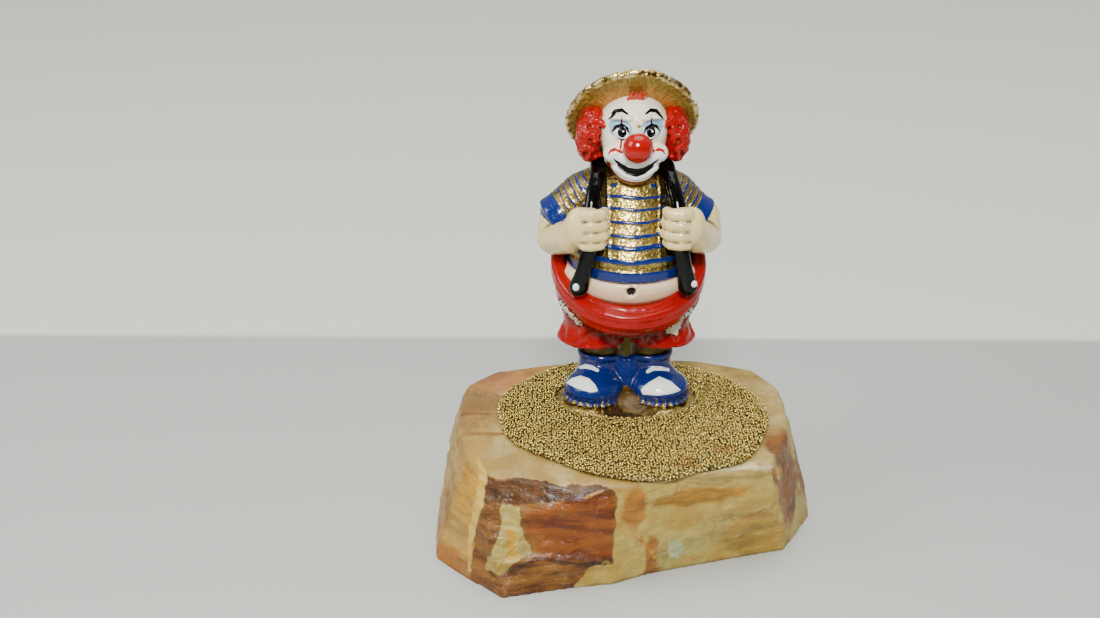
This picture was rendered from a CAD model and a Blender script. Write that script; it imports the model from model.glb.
"""Clown figurine: the looks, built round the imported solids.

The figure is laid out in millimetres in its own frame: it faces -Y, x is 0 on its middle and z is 0 under its foot
plate. Each finished piece is then placed in the row frame, in metres.
"""

import math
import random

import bmesh
import bpy
import numpy as np
from mathutils import Matrix, Vector, noise
from mathutils.bvhtree import BVHTree


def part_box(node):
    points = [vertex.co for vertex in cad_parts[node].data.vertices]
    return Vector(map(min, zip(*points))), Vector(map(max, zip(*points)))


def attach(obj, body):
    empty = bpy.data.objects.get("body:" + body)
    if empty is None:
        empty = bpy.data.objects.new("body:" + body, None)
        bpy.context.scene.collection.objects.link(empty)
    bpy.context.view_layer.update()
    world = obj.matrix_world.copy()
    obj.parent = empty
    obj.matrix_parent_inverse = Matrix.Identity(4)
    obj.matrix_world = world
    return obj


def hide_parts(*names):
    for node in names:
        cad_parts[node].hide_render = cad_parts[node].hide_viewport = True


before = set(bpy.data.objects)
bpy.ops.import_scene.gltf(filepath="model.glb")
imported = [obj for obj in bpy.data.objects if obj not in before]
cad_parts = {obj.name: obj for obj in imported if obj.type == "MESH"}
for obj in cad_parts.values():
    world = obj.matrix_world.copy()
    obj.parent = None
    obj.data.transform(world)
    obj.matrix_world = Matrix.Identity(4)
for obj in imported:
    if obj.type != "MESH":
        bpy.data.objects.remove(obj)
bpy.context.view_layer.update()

bl_info = {
    "name": "Clown figurine",
    "version": (1, 0, 0),
    "blender": (4, 5, 0),
    "location": "View3D > Sidebar > Figurine",
    "description": "Builds a painted and gilt clown on a slab of onyx",
    "category": "Add Mesh",
}

MM = 0.001
SIDES = (-1, 1)

# Where the figure stands in the row frame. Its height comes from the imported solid.
FIGURE_X = 0.0
FIGURE_Y = 0.0235
FIGURE_TURN = math.radians(2.0)
FIGURE_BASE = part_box("clown_figure")[0][2]
SLAB_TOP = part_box("onyx_slab")[1][2]
SLAB_LOW, SLAB_HIGH = (Vector(corner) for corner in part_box("onyx_slab"))
BED_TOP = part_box("bead_bed")[1][2]
PLACE = (
    Matrix.Translation((FIGURE_X, FIGURE_Y, FIGURE_BASE))
    @ Matrix.Rotation(FIGURE_TURN, 4, "Z")
    @ Matrix.Scale(MM, 4)
)

# Grain of the meshes, in millimetres: the voxel that each group of pieces is fused at.
FINE = 0.34
MEDIUM = 0.44
COARSE = 0.60

# The hat's own frame: the middle of its brim, and how far it is pushed back.
BRIM_CENTRE = Vector((0.0, 0.5, 111.4))
BRIM_RADIUS = 24.8
BRIM_HALF = 0.95
BRIM_ROLL = 1.5
BRIM_LIFT = 3.4
HAT_TILT = math.radians(-50.0)
CROWN_RADIUS = 14.5
CROWN_HEIGHT = 15.0
TEAR_ANGLE = math.radians(-28.0)
HAT_PLACE = Matrix.Translation(BRIM_CENTRE) @ Matrix.Rotation(HAT_TILT, 4, "X")

# The trousers' waist: a slanted ring.
WAIST_CENTRE = Vector((0.0, -1.0, 57.0))
WAIST_TILT = math.radians(30.5)
WAIST_RADII = (28.0, 28.6)

HEM_HEIGHT = 56.4
# The figure's left sleeve is drawn in closer than its right one.
SLEEVE_DRAW_IN = 2.4
NOSE_CENTRE = Vector((0.0, -22.4, 106.7))
NOSE_RADIUS = 5.4
EYE_HEIGHT = 111.0
EYE_APART = 5.5


def srgb(red, green, blue):
    """A colour given as 0 to 255 on screen, in Blender's linear numbers."""
    return tuple((c / 255.0) ** 2.2 for c in (red, green, blue))


class FigurineSizes(bpy.types.PropertyGroup):
    bead_diameter: bpy.props.FloatProperty(
        name="Bead diameter", description="Diameter of one gilt bead", default=0.98 * MM, unit="LENGTH", subtype="DISTANCE"
    )
    bead_spacing: bpy.props.FloatProperty(
        name="Bead spacing", description="Least distance between two beads", default=1.10 * MM, unit="LENGTH", subtype="DISTANCE"
    )
    slab_grain: bpy.props.FloatProperty(
        name="Slab grain", description="Size of one facet of the slab's mesh", default=1.04 * MM, unit="LENGTH", subtype="DISTANCE"
    )
    stitch_gap: bpy.props.FloatProperty(
        name="Stitch gap", description="Distance between the stitches round a patch", default=2.6 * MM, unit="LENGTH", subtype="DISTANCE"
    )


class FigurineColours(bpy.types.PropertyGroup):
    red: bpy.props.FloatVectorProperty(
        name="Red", description="Enamel of trousers, nose and hair", default=srgb(154, 0, 4), subtype="COLOR"
    )
    blue: bpy.props.FloatVectorProperty(
        name="Blue", description="Enamel of shoes, cuffs and stripes", default=srgb(4, 36, 102), subtype="COLOR"
    )
    cream: bpy.props.FloatVectorProperty(
        name="Cream", description="Enamel of arms, face and belly", default=srgb(230, 206, 142), subtype="COLOR"
    )
    white: bpy.props.FloatVectorProperty(
        name="White", description="Enamel of muzzle, toe caps and buttons", default=srgb(238, 240, 232), subtype="COLOR"
    )
    black: bpy.props.FloatVectorProperty(
        name="Black", description="Enamel of straps, brows and smile", default=srgb(7, 6, 7), subtype="COLOR"
    )
    gold: bpy.props.FloatVectorProperty(
        name="Gold", description="Bare plating", default=srgb(194, 168, 92), subtype="COLOR"
    )
    wash: bpy.props.FloatVectorProperty(
        name="Wash", description="Brown left in hollows", default=srgb(66, 50, 20), subtype="COLOR"
    )


def sizes():
    return bpy.context.scene.figurine_sizes


def colours():
    return bpy.context.scene.figurine_colours


# Forms: each is a small closed mesh in figure millimetres, and pieces are fused from several.


def add_ball(bm, centre, radii, turn=None):
    if not isinstance(radii, tuple):
        radii = (radii, radii, radii)
    place = Matrix.Translation(Vector(centre))
    if turn is not None:
        place = place @ turn
    place = place @ Matrix.Diagonal((*radii, 1.0))
    segments = 48 if max(radii) > 9.0 else 24
    bmesh.ops.create_uvsphere(bm, u_segments=segments, v_segments=segments * 2 // 3, radius=1.0, matrix=place)


def ball(centre, radii, turn=None):
    bm = bmesh.new()
    add_ball(bm, centre, radii, turn)
    return bm


def keep_hull(bm):
    """Turns what is in the bmesh into its convex hull."""
    done = bmesh.ops.convex_hull(bm, input=bm.verts)
    spare = {g for key in ("geom_interior", "geom_unused") for g in done[key]}
    bmesh.ops.delete(bm, geom=[g for g in spare if isinstance(g, bmesh.types.BMVert)], context="VERTS")
    kept = {g for g in done["geom"] if isinstance(g, bmesh.types.BMFace) and g.is_valid}
    bmesh.ops.delete(bm, geom=[f for f in bm.faces if f not in kept], context="FACES_ONLY")
    bmesh.ops.recalc_face_normals(bm, faces=bm.faces)
    return bm


def hull(*balls):
    bm = bmesh.new()
    for one in balls:
        add_ball(bm, *one)
    return keep_hull(bm)


def chain(*balls):
    """A limb, strap or lock: a hull between each ball and the next."""
    return [hull(a, b) for a, b in zip(balls, balls[1:])]


def slice_off(bm, point, normal):
    """Cuts a form flat and keeps what lies below the plane."""
    geom = bm.verts[:] + bm.edges[:] + bm.faces[:]
    bmesh.ops.bisect_plane(bm, geom=geom, plane_co=Vector(point), plane_no=normal, clear_outer=True)
    bmesh.ops.holes_fill(bm, edges=[e for e in bm.edges if e.is_boundary], sides=0)
    bmesh.ops.recalc_face_normals(bm, faces=bm.faces)
    return bm


def mirrored(forms):
    out = []
    for bm in forms:
        twin = bm.copy()
        bmesh.ops.scale(twin, vec=(-1.0, 1.0, 1.0), verts=twin.verts)
        bmesh.ops.reverse_faces(twin, faces=twin.faces)
        out.append(twin)
    return out


def both_sides(forms):
    return forms + mirrored(forms)


def smooth_path(points, steps):
    """Points of a Catmull-Rom curve through the given ones."""
    given = [Vector(p) for p in points]
    ends = [given[0] * 2 - given[1], *given, given[-1] * 2 - given[-2]]
    path = []
    for a, b, c, d in zip(ends, ends[1:], ends[2:], ends[3:]):
        for i in range(steps):
            t = i / steps
            path.append(
                0.5 * (2 * b + (c - a) * t + (2 * a - 5 * b + 4 * c - d) * t**2 + (3 * b - a - 3 * c + d) * t**3)
            )
    path.append(given[-1])
    return path


def join_forms(forms):
    bm = bmesh.new()
    for form in forms:
        mesh = bpy.data.meshes.new("form")
        form.to_mesh(mesh)
        form.free()
        bm.from_mesh(mesh)
        bpy.data.meshes.remove(mesh)
    return bm


def plain_object(name, mesh):
    obj = bpy.data.objects.new(name, mesh)
    bpy.context.scene.collection.objects.link(obj)
    return obj


def baked(obj):
    """The object's mesh with its modifiers applied. The object is removed."""
    graph = bpy.context.evaluated_depsgraph_get()
    mesh = bpy.data.meshes.new_from_object(obj.evaluated_get(graph))
    bpy.data.objects.remove(obj)
    return mesh


def mesh_from(bm, name="form"):
    mesh = bpy.data.meshes.new(name)
    bm.to_mesh(mesh)
    bm.free()
    return mesh


def largest_shell(mesh):
    """Drops the small closed shells that a remesh leaves inside."""
    count = len(mesh.vertices)
    edges = np.empty(len(mesh.edges) * 2, np.int64)
    mesh.edges.foreach_get("vertices", edges)
    edges = edges.reshape(-1, 2)
    label = np.arange(count)
    while True:
        low = np.minimum(label[edges[:, 0]], label[edges[:, 1]])
        new = label.copy()
        np.minimum.at(new, edges[:, 0], low)
        np.minimum.at(new, edges[:, 1], low)
        new = new[new]
        if np.array_equal(new, label):
            break
        label = new
    names, sizes_of = np.unique(label, return_counts=True)
    if len(names) == 1:
        return mesh
    keep = names[np.argmax(sizes_of)]
    bm = bmesh.new()
    bm.from_mesh(mesh)
    bm.verts.ensure_lookup_table()
    bmesh.ops.delete(bm, geom=[bm.verts[i] for i in np.flatnonzero(label != keep)], context="VERTS")
    bm.to_mesh(mesh)
    bm.free()
    return mesh


def fuse(forms, voxel, smooth=5, whole=True):
    """One closed mesh from overlapping forms."""
    obj = plain_object("fusing", mesh_from(join_forms(forms)))
    remesh = obj.modifiers.new("Fuse", "REMESH")
    remesh.mode = "VOXEL"
    remesh.voxel_size = voxel
    soften = obj.modifiers.new("Soften", "SMOOTH")
    soften.factor = 0.5
    soften.iterations = smooth
    mesh = baked(obj)
    return largest_shell(mesh) if whole else mesh


# Mesh arrays and attributes.


def points_of(mesh):
    co = np.empty(len(mesh.vertices) * 3, np.float32)
    mesh.vertices.foreach_get("co", co)
    return co.reshape(-1, 3).astype(np.float64)


def normals_of(mesh):
    no = np.empty(len(mesh.vertices) * 3, np.float32)
    mesh.vertex_normals.foreach_get("vector", no)
    return no.reshape(-1, 3).astype(np.float64)


def move_points(mesh, co):
    mesh.vertices.foreach_set("co", co.astype(np.float32).ravel())
    mesh.update()


def push(mesh, amount):
    """Moves each vertex along its normal."""
    move_points(mesh, points_of(mesh) + normals_of(mesh) * np.asarray(amount)[:, None])


def store(mesh, name, values):
    """A number on each vertex, which a material reads as an attribute."""
    layer = mesh.attributes.new(name, "FLOAT", "POINT")
    layer.data.foreach_set("value", np.asarray(values, np.float32))


def neighbour_mean(mesh, values):
    edges = np.empty(len(mesh.edges) * 2, np.int64)
    mesh.edges.foreach_get("vertices", edges)
    a, b = edges.reshape(-1, 2).T
    count = len(mesh.vertices)
    links = np.bincount(a, minlength=count) + np.bincount(b, minlength=count)
    columns = [
        (np.bincount(a, values[:, k][b], count) + np.bincount(b, values[:, k][a], count)) / np.maximum(links, 1)
        for k in range(values.shape[1])
    ]
    return np.stack(columns, 1)


def store_hollows(mesh, passes=6):
    """Stores how deep each vertex lies in a hollow, in mm: above 0 in creases, below 0 on edges."""
    co = points_of(mesh)
    mean = co
    for _ in range(passes):
        mean = neighbour_mean(mesh, mean)
    depth = ((mean - co) * normals_of(mesh)).sum(1)
    for _ in range(2):
        depth = neighbour_mean(mesh, depth[:, None])[:, 0]
    store(mesh, "hollow", depth)


def noise_of(co, scale, seed=0.0, octaves=1):
    """Smooth noise from -1 to 1 at each point. scale is the size of one swell, in mm."""
    shift = Vector((seed * 17.3, seed * -9.1, seed * 5.7))
    if octaves == 1:
        return np.array([noise.noise(Vector(p) / scale + shift) for p in co])
    return np.array([noise.fractal(Vector(p) / scale + shift, 1.0, 2.0, octaves) for p in co])


def cells_of(co, scale, seed=0.0):
    """Distance to the nearest of scattered points: 0 at each point, about 1 between them."""
    shift = Vector((seed * 13.7, seed * 3.1, seed * -7.9))
    return np.array([noise.voronoi(Vector(p) / scale + shift)[0][0] for p in co])


def ramp(values, low, high):
    t = np.clip((values - low) / (high - low), 0.0, 1.0)
    return t * t * (3.0 - 2.0 * t)


def ellipse_field(x, z, centre, radii, lean=0.0):
    """Above 0 inside an ellipse, in mm from its edge."""
    dx, dz = x - centre[0], z - centre[1]
    c, s = math.cos(lean), math.sin(lean)
    u, v = (c * dx + s * dz) / radii[0], (-s * dx + c * dz) / radii[1]
    return (1.0 - np.sqrt(u * u + v * v)) * min(radii)


def stroke_field(x, z, points, widths):
    """Above 0 inside a brush stroke through the points, whose half width goes through widths."""
    best = np.full(len(x), -1e3)
    path = list(zip(points, widths))
    for (p, wp), (q, wq) in zip(path, path[1:]):
        dx, dz = q[0] - p[0], q[1] - p[1]
        t = np.clip(((x - p[0]) * dx + (z - p[1]) * dz) / (dx * dx + dz * dz), 0.0, 1.0)
        away = np.hypot(x - p[0] - t * dx, z - p[1] - t * dz)
        best = np.maximum(best, wp + (wq - wp) * t - away)
    return best


# Shader nodes.


def add_node(tree, kind, settings=None, values=None):
    """A node with its settings, and its inputs set to numbers or linked to sockets."""
    node = tree.nodes.new(kind)
    for name, value in (settings or {}).items():
        setattr(node, name, value)
    for key, value in (values or {}).items():
        if isinstance(value, bpy.types.NodeSocket):
            tree.links.new(value, node.inputs[key])
        else:
            node.inputs[key].default_value = value
    return node


def mix_colour(tree, mask, a, b):
    return add_node(tree, "ShaderNodeMix", {"data_type": "RGBA"}, {0: mask, 6: a, 7: b}).outputs[2]


def mix_number(tree, mask, a, b):
    return add_node(tree, "ShaderNodeMix", {"data_type": "FLOAT"}, {0: mask, 2: a, 3: b}).outputs[0]


def math_node(tree, operation, a, b=0.0, clamp=False):
    return add_node(tree, "ShaderNodeMath", {"operation": operation, "use_clamp": clamp}, {0: a, 1: b}).outputs[0]


def map_range(tree, value, low, high, to_low=0.0, to_high=1.0):
    values = {"Value": value, "From Min": low, "From Max": high, "To Min": to_low, "To Max": to_high}
    return add_node(tree, "ShaderNodeMapRange", {"interpolation_type": "SMOOTHSTEP"}, values).outputs[0]


def attribute(tree, name):
    return add_node(tree, "ShaderNodeAttribute", {"attribute_name": name}).outputs["Fac"]


def object_place(tree):
    return add_node(tree, "ShaderNodeTexCoord").outputs["Object"]


def noise_node(tree, vector, scale, detail=2.0, roughness=0.5, distortion=0.0):
    values = {"Vector": vector, "Scale": scale, "Detail": detail, "Roughness": roughness, "Distortion": distortion}
    return add_node(tree, "ShaderNodeTexNoise", None, values)


def new_group(name, inputs, outputs):
    """An empty shader node group. inputs and outputs are (name, kind, default)."""
    tree = bpy.data.node_groups.new(name, "ShaderNodeTree")
    for way, sockets in (("INPUT", inputs), ("OUTPUT", outputs)):
        for label, kind, default in sockets:
            socket = tree.interface.new_socket(label, in_out=way, socket_type=kind)
            if default is not None:
                socket.default_value = default
    return tree, tree.nodes.new("NodeGroupInput"), tree.nodes.new("NodeGroupOutput")


FLOAT, COLOUR, VECTOR = "NodeSocketFloat", "NodeSocketColor", "NodeSocketVector"


def enamel_group():
    """Hand-brushed enamel: uneven colour, uneven gloss and a slow swell in the coat."""
    name = "Brushed enamel"
    if name in bpy.data.node_groups:
        return bpy.data.node_groups[name]
    inputs = (("Color", COLOUR, (0.5, 0.5, 0.5, 1.0)), ("Gloss", FLOAT, 0.16), ("Unevenness", FLOAT, 0.12))
    tree, given, out = new_group(name, inputs, (("Color", COLOUR, None), ("Roughness", FLOAT, None), ("Height", FLOAT, None)))
    place = object_place(tree)
    slow = noise_node(tree, place, 260.0, 3.0).outputs["Fac"]
    quick = noise_node(tree, place, 1400.0, 2.0).outputs["Fac"]
    darker = add_node(tree, "ShaderNodeHueSaturation", None, {"Value": 0.72, "Saturation": 1.08, "Color": given.outputs["Color"]})
    uneven = math_node(tree, "MULTIPLY", map_range(tree, slow, 0.42, 0.68), given.outputs["Unevenness"])
    tree.links.new(mix_colour(tree, uneven, given.outputs["Color"], darker.outputs["Color"]), out.inputs["Color"])
    rough = math_node(tree, "MULTIPLY", map_range(tree, quick, 0.3, 0.75, 0.85, 1.9), given.outputs["Gloss"])
    tree.links.new(rough, out.inputs["Roughness"])
    tree.links.new(math_node(tree, "ADD", slow, math_node(tree, "MULTIPLY", quick, 0.18)), out.inputs["Height"])
    return tree


def plating_group():
    """Gold plate over a hammered casting: bright on the high spots, brown in the pits."""
    name = "Antique plating"
    if name in bpy.data.node_groups:
        return bpy.data.node_groups[name]
    inputs = (
        ("Color", COLOUR, (0.8, 0.6, 0.3, 1.0)),
        ("Wash", COLOUR, (0.1, 0.05, 0.02, 1.0)),
        ("Grain", FLOAT, 1100.0),
        ("Pits", FLOAT, 0.5),
    )
    tree, given, out = new_group(name, inputs, (("Color", COLOUR, None), ("Roughness", FLOAT, None), ("Height", FLOAT, None)))
    place = object_place(tree)
    values = {"Vector": place, "Scale": given.outputs["Grain"]}
    cells = add_node(tree, "ShaderNodeTexVoronoi", {"feature": "F1"}, values).outputs["Distance"]
    patchy = noise_node(tree, place, 300.0, 4.0, 0.6).outputs["Fac"]
    fine = noise_node(tree, place, 2600.0, 2.0).outputs["Fac"]
    pit = math_node(tree, "MULTIPLY", map_range(tree, cells, 0.35, 0.75), given.outputs["Pits"])
    pit = math_node(tree, "MULTIPLY", pit, map_range(tree, patchy, 0.3, 0.6, 0.35, 1.0))
    hollow = map_range(tree, attribute(tree, "hollow"), 0.02, 0.22)
    dark = math_node(tree, "MAXIMUM", pit, math_node(tree, "MULTIPLY", hollow, 0.9))
    tree.links.new(mix_colour(tree, dark, given.outputs["Color"], given.outputs["Wash"]), out.inputs["Color"])
    tree.links.new(mix_number(tree, dark, map_range(tree, fine, 0.3, 0.7, 0.16, 0.34), 0.6), out.inputs["Roughness"])
    height = math_node(tree, "SUBTRACT", math_node(tree, "MULTIPLY", fine, 0.35), math_node(tree, "MULTIPLY", cells, 0.9))
    tree.links.new(height, out.inputs["Height"])
    return tree


def wash_group():
    """Brown colour that has stayed in the creases, and a thin show of what lies below on the edges."""
    name = "Creases and edges"
    if name in bpy.data.node_groups:
        return bpy.data.node_groups[name]
    inputs = (
        ("Color", COLOUR, (0.5, 0.5, 0.5, 1.0)),
        ("Wash", COLOUR, (0.1, 0.05, 0.02, 1.0)),
        ("Depth", FLOAT, 0.12),
        ("Strength", FLOAT, 0.6),
    )
    tree, given, out = new_group(name, inputs, (("Color", COLOUR, None), ("Worn", FLOAT, None)))
    place = object_place(tree)
    hollow = attribute(tree, "hollow")
    ragged = noise_node(tree, place, 700.0, 3.0).outputs["Fac"]
    deep = add_node(tree, "ShaderNodeMapRange", None, {"Value": hollow, "From Min": 0.02, "From Max": given.outputs["Depth"]})
    amount = math_node(tree, "MULTIPLY", deep.outputs[0], given.outputs["Strength"])
    amount = math_node(tree, "MULTIPLY", amount, map_range(tree, ragged, 0.25, 0.6, 0.5, 1.0), clamp=True)
    tree.links.new(mix_colour(tree, amount, given.outputs["Color"], given.outputs["Wash"]), out.inputs["Color"])
    edge = map_range(tree, math_node(tree, "MULTIPLY", hollow, -1.0), 0.3, 0.45)
    worn = math_node(tree, "MULTIPLY", edge, map_range(tree, ragged, 0.52, 0.62))
    tree.links.new(worn, out.inputs["Worn"])
    return tree


def rgba(colour):
    return (*colour, 1.0)


def group_node(tree, group, values):
    return add_node(tree, "ShaderNodeGroup", {"node_tree": group}, values)


# Paints darker than this show a clear coat as a grey haze, so they get next to none.
DARK_PAINT = 0.01


def enamel_over_gold(name, base, layers=(), wash=0.6, coat=0.35, bump=0.12, grain=1100.0, pits=0.5, specular=0.5, gloss=0.16):
    """A painted finish. base is a colour, or None for bare plating, and each layer is (attribute, colour or None)."""
    material = bpy.data.materials.new(name)
    material.use_nodes = True
    tree = material.node_tree
    shader = tree.nodes["Principled BSDF"]
    shade = colours()
    gold_values = {"Color": rgba(shade.gold), "Wash": rgba(shade.wash), "Grain": grain, "Pits": pits}
    gold = group_node(tree, plating_group(), gold_values)

    def finish_of(colour):
        if colour is None:
            return gold.outputs["Color"], gold.outputs["Roughness"], 1.0, gold.outputs["Height"]
        brushed = group_node(tree, enamel_group(), {"Color": rgba(colour), "Gloss": gloss})
        creased_values = {"Color": brushed.outputs["Color"], "Wash": rgba(shade.wash), "Strength": wash}
        if max(colour) < DARK_PAINT:
            creased_values["Strength"] = 0.0
        creased = group_node(tree, wash_group(), creased_values)
        seen = mix_colour(tree, creased.outputs["Worn"], creased.outputs["Color"], gold.outputs["Color"])
        return seen, brushed.outputs["Roughness"], creased.outputs["Worn"], brushed.outputs["Height"]

    colour, rough, metal, height = finish_of(base)
    haze = coat
    ragged = noise_node(tree, object_place(tree), 1500.0, 2.0).outputs["Fac"]
    wobble = math_node(tree, "MULTIPLY", math_node(tree, "SUBTRACT", ragged, 0.5), 0.22)
    for field, paint in layers:
        edge = math_node(tree, "ADD", attribute(tree, field), wobble)
        mask = map_range(tree, edge, -0.06, 0.06)
        over = finish_of(paint)
        colour = mix_colour(tree, mask, colour, over[0])
        rough = mix_number(tree, mask, rough, over[1])
        metal = mix_number(tree, mask, metal, over[2])
        height = mix_number(tree, mask, height, over[3])
        if paint is not None and max(paint) < DARK_PAINT:
            haze = mix_number(tree, mask, haze, 0.04)
    tree.links.new(colour, shader.inputs["Base Color"])
    tree.links.new(rough, shader.inputs["Roughness"])
    if isinstance(metal, float):
        shader.inputs["Metallic"].default_value = metal
    else:
        tree.links.new(metal, shader.inputs["Metallic"])
    if isinstance(haze, float):
        shader.inputs["Coat Weight"].default_value = haze
    else:
        tree.links.new(haze, shader.inputs["Coat Weight"])
    shader.inputs["Coat Roughness"].default_value = 0.06
    shader.inputs["Specular IOR Level"].default_value = specular
    raised = add_node(tree, "ShaderNodeBump", None, {"Strength": bump, "Distance": 0.0002, "Height": height})
    tree.links.new(raised.outputs[0], shader.inputs["Normal"])
    return material


def finish_piece(name, mesh, material, place=PLACE, node="clown_figure"):
    """Places a piece in the row frame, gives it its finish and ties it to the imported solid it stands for."""
    mesh.transform(place)
    mesh.name = name
    mesh.materials.clear()
    mesh.materials.append(material)
    mesh.shade_smooth()
    obj = plain_object(name, mesh)
    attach(obj, "root")
    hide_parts(node)
    return obj


# The slab.

CHIP_COUNT = 700
CHIP_SEED = 7
SLANT = math.radians(22.5)
# The rough cleft at the front left: its middle and how far it reaches, in mm.
CLEFT_CENTRE = np.array([-26.0, -54.0, 20.0])
CLEFT_REACH = np.array([24.0, 12.0, 19.0])
LEDGE_HEIGHT = 4.6
# The block that stands proud at the front left: its ends, and the heights of its sharp upper edge at them.
BLOCK_ENDS = ((-41.0, 31.4), (-8.5, 37.2))
BLOCK_TOP_Y = -48.3
BLOCK_EDGE_Y = -53.2
BLOCK_FOOT = 10.4


def slanted(co):
    """x, and height as seen from in front and above: paint on the upper side of a form is laid out on these."""
    return co[:, 0], co[:, 2] * math.cos(SLANT) + co[:, 1] * math.sin(SLANT)


def hull_of(points):
    bm = bmesh.new()
    for point in points:
        bm.verts.new(point)
    return keep_hull(bm)


def front_blocks():
    """A sloping top, a sharp edge and an upright face, with a thin shelf under it."""
    top = SLAB_HIGH.z / MM - 0.3
    block, shelf = [], []
    for x, edge in BLOCK_ENDS:
        for y, z in ((-38.0, top), (BLOCK_TOP_Y, top), (BLOCK_EDGE_Y, edge)):
            block.append((x, y, z))
        block.append((x, BLOCK_EDGE_Y + 1.0, BLOCK_FOOT))
        block.append((x, -38.0, BLOCK_FOOT))
    for x, y, low in ((-36.0, -55.2, 8.6), (-22.0, -54.6, 7.4), (-9.0, -53.6, 9.0)):
        shelf += [(x, -38.0, low), (x, y, low + 0.4), (x, y, low + 2.6), (x, -38.0, low + 4.0)]
    return [hull_of(block), hull_of(shelf)]


def lower_to_block(co):
    """Cuts what stands above the block's sloping top."""
    x, y, z = co.T
    (left, left_edge), (right, right_edge) = BLOCK_ENDS
    edge = left_edge + (right_edge - left_edge) * (x - left) / (right - left)
    top = SLAB_HIGH.z / MM
    slope = top + (y - BLOCK_TOP_Y) * (top - edge) / (BLOCK_TOP_Y - BLOCK_EDGE_Y)
    taper = 6.0 * ramp(-x, -left, -left + 11.0) + 6.0 * ramp(x, right, right + 0.8)
    inside = (y < BLOCK_TOP_Y) & (z > 25.0)
    co[:, 2] = np.where(inside, np.minimum(z, slope + taper), z)


def merged_copy(node):
    """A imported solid's mesh in millimetres, with its loose triangles joined."""
    bm = bmesh.new()
    bm.from_mesh(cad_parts[node].data)
    bmesh.ops.remove_doubles(bm, verts=bm.verts, dist=1e-6)
    bmesh.ops.scale(bm, vec=(1.0 / MM,) * 3, verts=bm.verts)
    return bm


def cleave(co, normals, seed):
    """Takes flat chips off the sides, as a hammer leaves them."""
    rng = random.Random(seed)
    side = np.flatnonzero((np.abs(normals[:, 2]) < 0.75) & (co[:, 2] > 2.0))
    for _ in range(CHIP_COUNT):
        i = side[rng.randrange(len(side))]
        centre = co[i]
        jitter = np.array([rng.gauss(0.0, 0.14), rng.gauss(0.0, 0.14), rng.gauss(0.03, 0.14)])
        way = normals[i] + jitter
        way /= np.linalg.norm(way)
        reach = rng.uniform(7.0, 24.0)
        depth = rng.uniform(0.1, 0.9)
        away = np.linalg.norm(co - centre, axis=1)
        over = (co - centre) @ way + depth
        over[away > reach] = 0.0
        if (over[away > 0.86 * reach] > 0.0).any() or over.max() > 2.2:
            continue
        cut = over > 0.0
        co[cut] -= over[cut][:, None] * way
    return co


def slab_mesh():
    obj = plain_object("slab", mesh_from(join_forms([merged_copy("onyx_slab"), *front_blocks()])))
    remesh = obj.modifiers.new("Fine", "REMESH")
    remesh.mode = "VOXEL"
    remesh.voxel_size = sizes().slab_grain / MM
    soften = obj.modifiers.new("Soften", "SMOOTH")
    soften.factor = 0.5
    soften.iterations = 7
    mesh = largest_shell(baked(obj))
    low, high = SLAB_LOW / MM, SLAB_HIGH / MM
    co, normals = points_of(mesh), normals_of(mesh)
    side = ramp(1.0 - np.abs(normals[:, 2]), 0.12, 0.6)
    lower_to_block(co)
    co = cleave(co, normals, CHIP_SEED)
    cleft = np.linalg.norm((co - CLEFT_CENTRE) / CLEFT_REACH, axis=1) + 0.18 * noise_of(co, 7.0, 12.0, 2)
    cleft = ramp(-cleft, -1.1, -0.85)
    beds = (co[:, 2] + 1.6 * noise_of(co * np.array([0.5, 0.5, 1.0]), 9.0, 2.0, 2)) / LEDGE_HEIGHT
    step = beds - np.floor(beds)
    ledges = ramp(step, 0.0, 0.75) - ramp(step, 0.86, 1.0)
    swell = 0.7 * noise_of(co, 13.0, 1.0, 2) + 0.45 * noise_of(co, 4.8, 2.5, 3)
    rough = 0.55 * noise_of(co * np.array([0.7, 0.7, 1.5]), 4.2, 3.0, 4) + 0.3 * ledges
    amount = side * (swell - 0.35 + cleft * rough)
    co = co + normals * amount[:, None]
    upward = (normals[:, 2] > 0.5) & (co[:, 2] > high.z - 3.0)
    top_swell = -0.20 - 0.22 * noise_of(co, 18.0, 4.0, 2) - 0.05 * np.abs(noise_of(co, 3.0, 5.0, 2))
    co[upward, 2] += (top_swell * (1.0 - side))[upward]
    grain = 0.13 * noise_of(co, 2.2, 6.0, 3)
    co = co + normals * (grain * (0.3 + 0.7 * side))[:, None]
    co = np.clip(co, (low.x - 0.4, low.y - 0.4, low.z), (high.x + 0.4, high.y + 0.4, high.z - 0.05))
    flat = co[:, 2] < 0.8
    co[flat, 2] = np.where(normals[flat, 2] < -0.7, low.z, co[flat, 2])
    move_points(mesh, co)
    store_hollows(mesh, 5)
    paint_stone(mesh)
    return mesh


# Sharp-edged colours on the front of the slab, laid out on the slanted view in mm.
STONE_BROWN = [
    (-53.9, 19.5), (-39.0, 19.6), (-27.6, 17.8), (-8.1, 17.2), (-6.3, 12.7), (-7.4, -10.5), (-15.2, -12.5),
    (-19.5, -17.2), (-21.5, -21.9), (-39.2, -26.8), (-54.8, -27.7), (-58.6, -19.8), (-57.2, -3.0), (-54.1, 9.9),
]
STONE_FACE = [
    (-39.1, 8.4), (-31.0, 10.4), (-10.2, 15.3), (-7.7, 12.7), (-7.8, -9.7), (-33.1, -9.1), (-35.6, -2.5), (-38.0, 4.3),
]
STONE_PATCH = [
    (-46.7, 10.3), (-39.7, 9.6), (-40.1, 3.2), (-38.0, -1.0), (-35.6, -7.5), (-42.6, -10.2), (-47.0, -14.5),
    (-52.3, -13.4), (-50.4, -6.8), (-47.9, -0.6),
]
STONE_CORE = [(-45.4, 2.0), (-40.8, 1.3), (-40.5, -8.3), (-44.8, -10.2)]
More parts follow.
